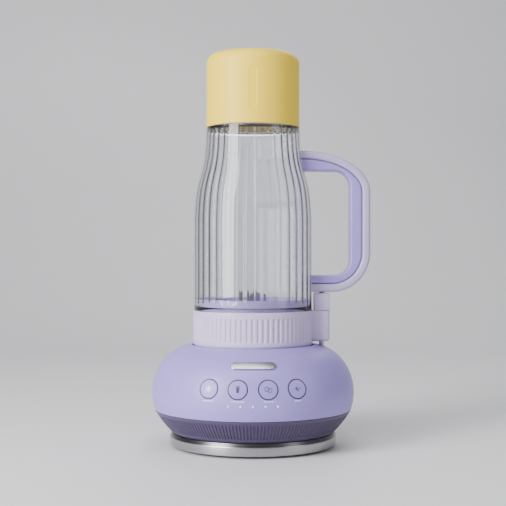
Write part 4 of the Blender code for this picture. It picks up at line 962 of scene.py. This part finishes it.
def ground_steel():
    """Stainless sheet: a brushed face with water marks."""
    made = Finish("blade_steel", (0.63, 0.63, 0.65), 0.24, Metallic=1.0)
    place = made.place()
    strokes = made.noise(made.stretched(place, (1.0, 1.0, 5.0)), 1400.0, 2.0, 0.6)
    marks = made.noise(place, 160.0, 4.0)
    made.feed(Base_Color=made.mixed(marks, (0.53, 0.53, 0.55), (0.69, 0.69, 0.71)))
    made.feed(Roughness=strokes * 0.15 + marks * 0.10 + 0.12)
    return made.bumped(strokes, 0.3, 0.00002).material


def blade_section(side, over, reach):
    """The blade's outline across an arm: its leading side is ground down to a thin edge."""
    half = hub_half - taper * over / (reach - flat)
    sweep = 0.25 * over
    sharp = eased((over - 0.001) / 0.003)
    edge = sheet_steel - (sheet_steel - 0.00015) * sharp
    lead, trail = half + sweep, sweep - half
    ground = lead - 0.0022 * sharp
    outline = [(trail, 0), (trail, sheet_steel), (ground, sheet_steel), (lead, edge), (lead, 0)]
    return [(side * y, z) for y, z in outline[::side]]


def blade(name, level, reach, droop, turn):
    """Two arms bent from a flat hub, up where droop is above 0 and down where it is below."""
    bm = bmesh.new()
    rows = []
    for i in range(37):
        signed = reach * (i / 18 - 1)
        side = 1 if signed >= 0 else -1
        over = max(abs(signed) - flat, 0)
        bent = over - bend * (1 - math.exp(-over / bend))
        x = side * (abs(signed) - bent + bent * math.cos(droop))
        rise = level + bent * math.sin(droop)
        section = blade_section(side, over, reach)
        rows.append([bm.verts.new((axis.x + x, y, rise + z)) for y, z in section])
    skin(bm, rows)
    spin = Matrix.Translation(axis) @ Matrix.Rotation(turn, 4, "Z") @ Matrix.Translation(-axis)
    bm.transform(spin)
    bmesh.ops.remove_doubles(bm, verts=bm.verts, dist=0.00002)
    return finished(name, bm, blade_steel, 25)


blade_steel = ground_steel()
sheet_steel, flat, bend = 0.0015, 0.0105, 0.0015
hub_half, taper = 0.0065, 0.0035
lower_reach, lower_droop = 0.0330, math.radians(-9)
upper_reach, upper_rise = 0.0290, math.radians(38)
blade_level = tower_top + 0.0020
upper_level = blade_level + sheet_steel + 0.0003
lower = blade("lower_blade_ground", blade_level, lower_reach, lower_droop, 0)
upper = blade("upper_blade_ground", upper_level, upper_reach, upper_rise, math.pi / 2)
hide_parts("lower_blade")
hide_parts("upper_blade")

nut_low, nut_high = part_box("blade_nut")
bm = bmesh.new()
hexagon = Matrix.Translation((axis.x, 0, (nut_low.z + nut_high.z) / 2))
nut_radius, nut_bore = 0.0058, 0.0036
bmesh.ops.create_cone(bm, cap_ends=True, segments=6, radius1=nut_radius, radius2=nut_radius,
                      depth=nut_high.z - nut_low.z, matrix=hexagon)
bmesh.ops.bevel(bm, geom=bm.edges[:], offset=0.0005, segments=3, profile=0.5, affect="EDGES")
nut = finished("hexagon_nut", bm, steel, 25)
on_axis = [Matrix.Translation(axis)]
take_away(nut, pegs("nut_bore", nut_bore, nut_low.z - 0.01, nut_high.z + 0.01, on_axis, 40))
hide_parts("blade_nut")
for piece in (lower, upper, nut):
    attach(piece, "blades")

# -------------------- the cup
# A clear copolyester cup, straight at its foot and drawn in through a long S to its mouth. Its
# outside is smooth; thirty-six soft ribs run up the inside. A thread at each end takes base and lid.

jar_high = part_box("jar")[1]
jar_foot = collar_top + 0.0003
jar_radius, jar_wall = jar_high.y, 0.0028
shoulder_low = jar_foot + 0.0722
mouth_radius, mouth = 0.0372, shoulder_low + 0.0728
flute_count, flute_depth = 36, 0.0007
neck_radius, neck_bore, neck_top = 0.0325, 0.0300, jar_high.z
lower_neck, lower_bore = 0.0450, 0.0428


def shoulder(share):
    """How far the shoulder has drawn in: an S that is steepest a little below its middle."""
    steepness, middle, straight = 5.0, 0.465, 0.25
    low, high = math.tanh(-steepness * middle), math.tanh(steepness * (1 - middle))
    drawn = (math.tanh(steepness * (share - middle)) - low) / (high - low)
    return (1 - straight) * drawn + straight * share


def cup_radius(height):
    """The cup's outside at this height."""
    share = min(max((height - shoulder_low) / (mouth - shoulder_low), 0), 1)
    return jar_radius - (jar_radius - mouth_radius) * shoulder(share)


def fluted(radius, height, turn):
    """Thickens the wall inwards at each rib, between the foot and the neck."""
    inner = abs(radius - cup_radius(height) + jar_wall) < 0.0001
    if not inner or height > mouth - 0.0005:
        return radius
    fade = eased((height - jar_foot - 0.0050) / 0.0040) * eased((mouth - 0.0005 - height) / 0.0040)
    return radius - flute_depth * fade * (0.5 + 0.5 * math.cos(turn * flute_count)) ** 1.6


def clear_plastic():
    """Clear copolyester: almost colourless, with faint flow marks and fine rubbing."""
    made = Finish("clear_copolyester", (0.94, 0.95, 0.98), 0.03, IOR=1.50, Transmission_Weight=1.0)
    place = made.place()
    flow = made.noise(made.stretched(place, (1.0, 1.0, 0.25)), 45.0, 2.0)
    rubbed = made.noise(place, 300.0, 4.0, 0.6)
    made.feed(Roughness=rubbed * 0.05 + 0.005)
    return made.bumped(flow, 0.12, 0.00008).material


up = [shoulder_low + (mouth - 0.0028 - shoulder_low) * i / 30 for i in range(31)]
cup_line = arc((neck_bore + 0.0004, neck_top - 0.0004), 0.0004, 180, 90, 3)
cup_line += arc((neck_radius - 0.0006, neck_top - 0.0006), 0.0006, 90, 0, 4)
cup_line += [(neck_radius, mouth + 0.0004), (neck_radius + 0.0004, mouth), (mouth_radius - 0.0005, mouth)]
cup_line += [(mouth_radius - 0.0001, mouth - 0.0003)]
cup_line += [(cup_radius(z), z) for z in up[::-1]]
cup_line += [(jar_radius, z) for z in (0.160, 0.140, 0.120, jar_foot + 0.0008)]
cup_line += arc((jar_radius - 0.0006, jar_foot + 0.0006), 0.0006, 0, -90, 4)
cup_line += [(lower_neck, jar_foot), (lower_neck, neck_end + 0.0004), (lower_neck - 0.0004, neck_end)]
cup_line += [(lower_bore, neck_end), (lower_bore, jar_foot + 0.0010)]
cup_line += arc((jar_radius - jar_wall - 0.0016, jar_foot + 0.0037), 0.0016, -60, 0, 4)
cup_line += [(jar_radius - jar_wall, jar_foot + 0.006 + 0.001 * i) for i in range(9)]
cup_line += [(jar_radius - jar_wall, z) for z in (0.130, 0.150, 0.170)]
cup_line += [(cup_radius(z) - jar_wall, z) for z in up]
cup_line += [(neck_bore + 0.0008, mouth + 0.0001), (neck_bore, mouth + 0.0012)]
clear = clear_plastic()
cup = revolved("cup", cup_line, clear, flute_count * 10, fluted, 45)
cup_threads = [
    thread("cup_lower_thread", lower_neck, lower_neck + 0.0010, neck_end + 0.0017, lower_pitch,
           0, 0.0008, clear),
    thread("cup_upper_thread", neck_radius, neck_radius + 0.0008, mouth + 0.0030, lid_pitch,
           0, 0.0008, clear),
]
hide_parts("jar")
for piece in (cup, *cup_threads):
    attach(piece, "cup")

# -------------------- the handle and its grip
# A D-shaped handle in two lavender mouldings, both fixed to the cup: a broad inner loop with a flat
# face, and a softer, paler grip around the outside of it. A fine joint runs between the two.

loop_low, loop_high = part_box("handle_grip")
reach = loop_high.x - axis.x
handle_top, handle_bottom = loop_high.z, loop_low.z
half_depth = loop_high.y
grip_thickness, handle_thickness, lower_arm = 0.0064, 0.0160, 0.0132
into_cup = 0.003  # how far the arms are drawn past the cup's face before they are cut to it
head_start, foot_start = mouth_radius - into_cup, jar_radius - into_cup


def rail(inset):
    """The handle's outer line drawn in by inset, from the upper end round to the lower end."""
    line = [(head_start, handle_top - inset)]
    across, rise = 0.054, 0.033
    line += arc((reach - across, handle_top - rise), (across - inset, rise - inset), 90, 0, 24)
    across, rise = 0.030, 0.032
    line += arc((reach - across, handle_bottom + rise), (across - inset, rise - inset), 0, -90, 20)
    return line + [(foot_start, handle_bottom + inset)]


def finger_gap():
    """The edge of the finger gap, from the lower arm round to the upper one."""
    side, corner = reach - handle_thickness, 0.012
    low, high = handle_bottom + lower_arm, handle_top - handle_thickness
    round_top = arc((side - corner, high - corner), corner, 90, 0, 12)
    round_low = arc((side - corner, low + corner), corner, 0, -90, 12)
    return [(foot_start, low), *(round_top + round_low)[::-1], (head_start, high)]


def cup_envelope():
    """The cup's outline as a solid, a hair larger, which trims the arms to it."""
    line = [(0, mouth), *[(cup_radius(z) + 0.0003, z) for z in up[::-1]], (jar_radius + 0.0003, jar_foot)]
    return revolved("envelope", [*line, (0, jar_foot)], None, 180)


def loop_piece(name, outline, half, edge, material):
    """The outline given depth, with rounded edges and its arms ending at the cup."""
    bm = bmesh.new()
    front = [bm.verts.new((axis.x + x, -half, z)) for x, z in outline]
    back = [bm.verts.new((axis.x + x, half, z)) for x, z in outline]
    count = len(outline)
    caps = [bm.faces.new(front), bm.faces.new(back[::-1])]
    for j in range(count):
        k = (j + 1) % count
        bm.faces.new((front[j], back[j], back[k], front[k]))
    bmesh.ops.recalc_face_normals(bm, faces=bm.faces)
    rim = [e for cap in caps for e in cap.edges]
    bmesh.ops.bevel(bm, geom=rim, offset=edge, segments=6, profile=0.5, affect="EDGES",
                    clamp_overlap=True)
    made = finished(name, bm, material, 40)
    return take_away(made, cup_envelope())


handle_lavender = moulded("handle_lavender", (0.310, 0.245, 0.620), 0.38, mottle=0.03, Coat_Weight=0.10)
grip_lavender = moulded("grip_lavender", (0.440, 0.378, 0.605), 0.46, grain=1900.0, depth=0.00004)
inner_line = rail(grip_thickness + 0.0003) + finger_gap()
loop = loop_piece("handle_loop", inner_line, half_depth - 0.0009, 0.0016, handle_lavender)
outer_line = rail(0) + rail(grip_thickness)[::-1]
grip = loop_piece("handle_outer_grip", outer_line, half_depth, 0.0022, grip_lavender)
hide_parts("handle")
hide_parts("handle_grip")
for piece in (loop, grip):
    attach(piece, "cup")

# -------------------- the lid
# A tall cap in matte pastel yellow with a generous top radius. A shallow upright pill is debossed in
# its front, and a threaded liner of the same plastic sits inside it, above the cup's neck.

lid_low, lid_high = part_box("lid_shell")
lid_radius, lid_wall, lid_corner = lid_high.y, 0.0018, 0.0080
liner_low, liner_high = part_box("lid_liner")
deboss_middle = (lid_low.z + lid_high.z) / 2 - 0.002


def debossed(radius, height, turn):
    """Presses the upright pill into the front of the lid."""
    if radius < lid_radius - 0.0002:
        return radius
    across = math.remainder(turn + math.pi / 2, 2 * math.pi) * radius
    half_length, half_width, deboss_depth = 0.0120, 0.0030, 0.0003
    past = max(abs(height - deboss_middle) - half_length, 0)
    inside = half_width - math.hypot(across, past)
    return radius - deboss_depth * eased(inside / 0.0007 + 0.5)


lid_yellow = moulded("pastel_yellow", (0.950, 0.670, 0.040), 0.50, grain=2200.0, depth=0.00003, mottle=0.025)
side_top = lid_high.z - lid_corner
side_levels = [side_top - (side_top - lid_low.z) * i / 90 for i in range(1, 90)]
lid_line = [(0, lid_high.z)]
lid_line += arc((lid_radius - lid_corner, side_top), lid_corner, 90, 0, 14)
lid_line += [(lid_radius, z) for z in side_levels]
lid_line += arc((lid_radius - 0.0005, lid_low.z + 0.0005), 0.0005, 0, -90, 4)
lid_line += [(lid_radius - lid_wall, lid_low.z), (lid_radius - lid_wall, side_top)]
inner_corner = lid_corner - lid_wall
lid_line += arc((lid_radius - lid_corner, side_top), inner_corner, 5, 90, 8)
lid_line += [(0, lid_high.z - lid_wall)]
lid = revolved("lid_cap", lid_line, lid_yellow, 480, debossed, 30)

liner_radius, liner_bore = 0.0349, 0.0336
disc = liner_high.z - 0.0020
liner_line = [(0, liner_high.z), (liner_radius - 0.0005, liner_high.z), (liner_radius, liner_high.z - 0.0005)]
liner_line += [(liner_radius, liner_low.z + 0.0003), (liner_radius - 0.0003, liner_low.z)]
liner_line += [(liner_bore + 0.0002, liner_low.z), (liner_bore, liner_low.z + 0.0002)]
liner_line += [(liner_bore, disc - 0.0006), (liner_bore - 0.0006, disc), (0, disc)]
liner = revolved("lid_liner_cup", liner_line, lid_yellow, 120)
liner_thread = thread("lid_thread", liner_bore + 0.0003, liner_bore - 0.0008, mouth + 0.0030,
                      lid_pitch, math.pi, 0.0008, lid_yellow)
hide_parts("lid_shell")
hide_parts("lid_liner")
for piece in (lid, liner, liner_thread):
    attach(piece, "lid")
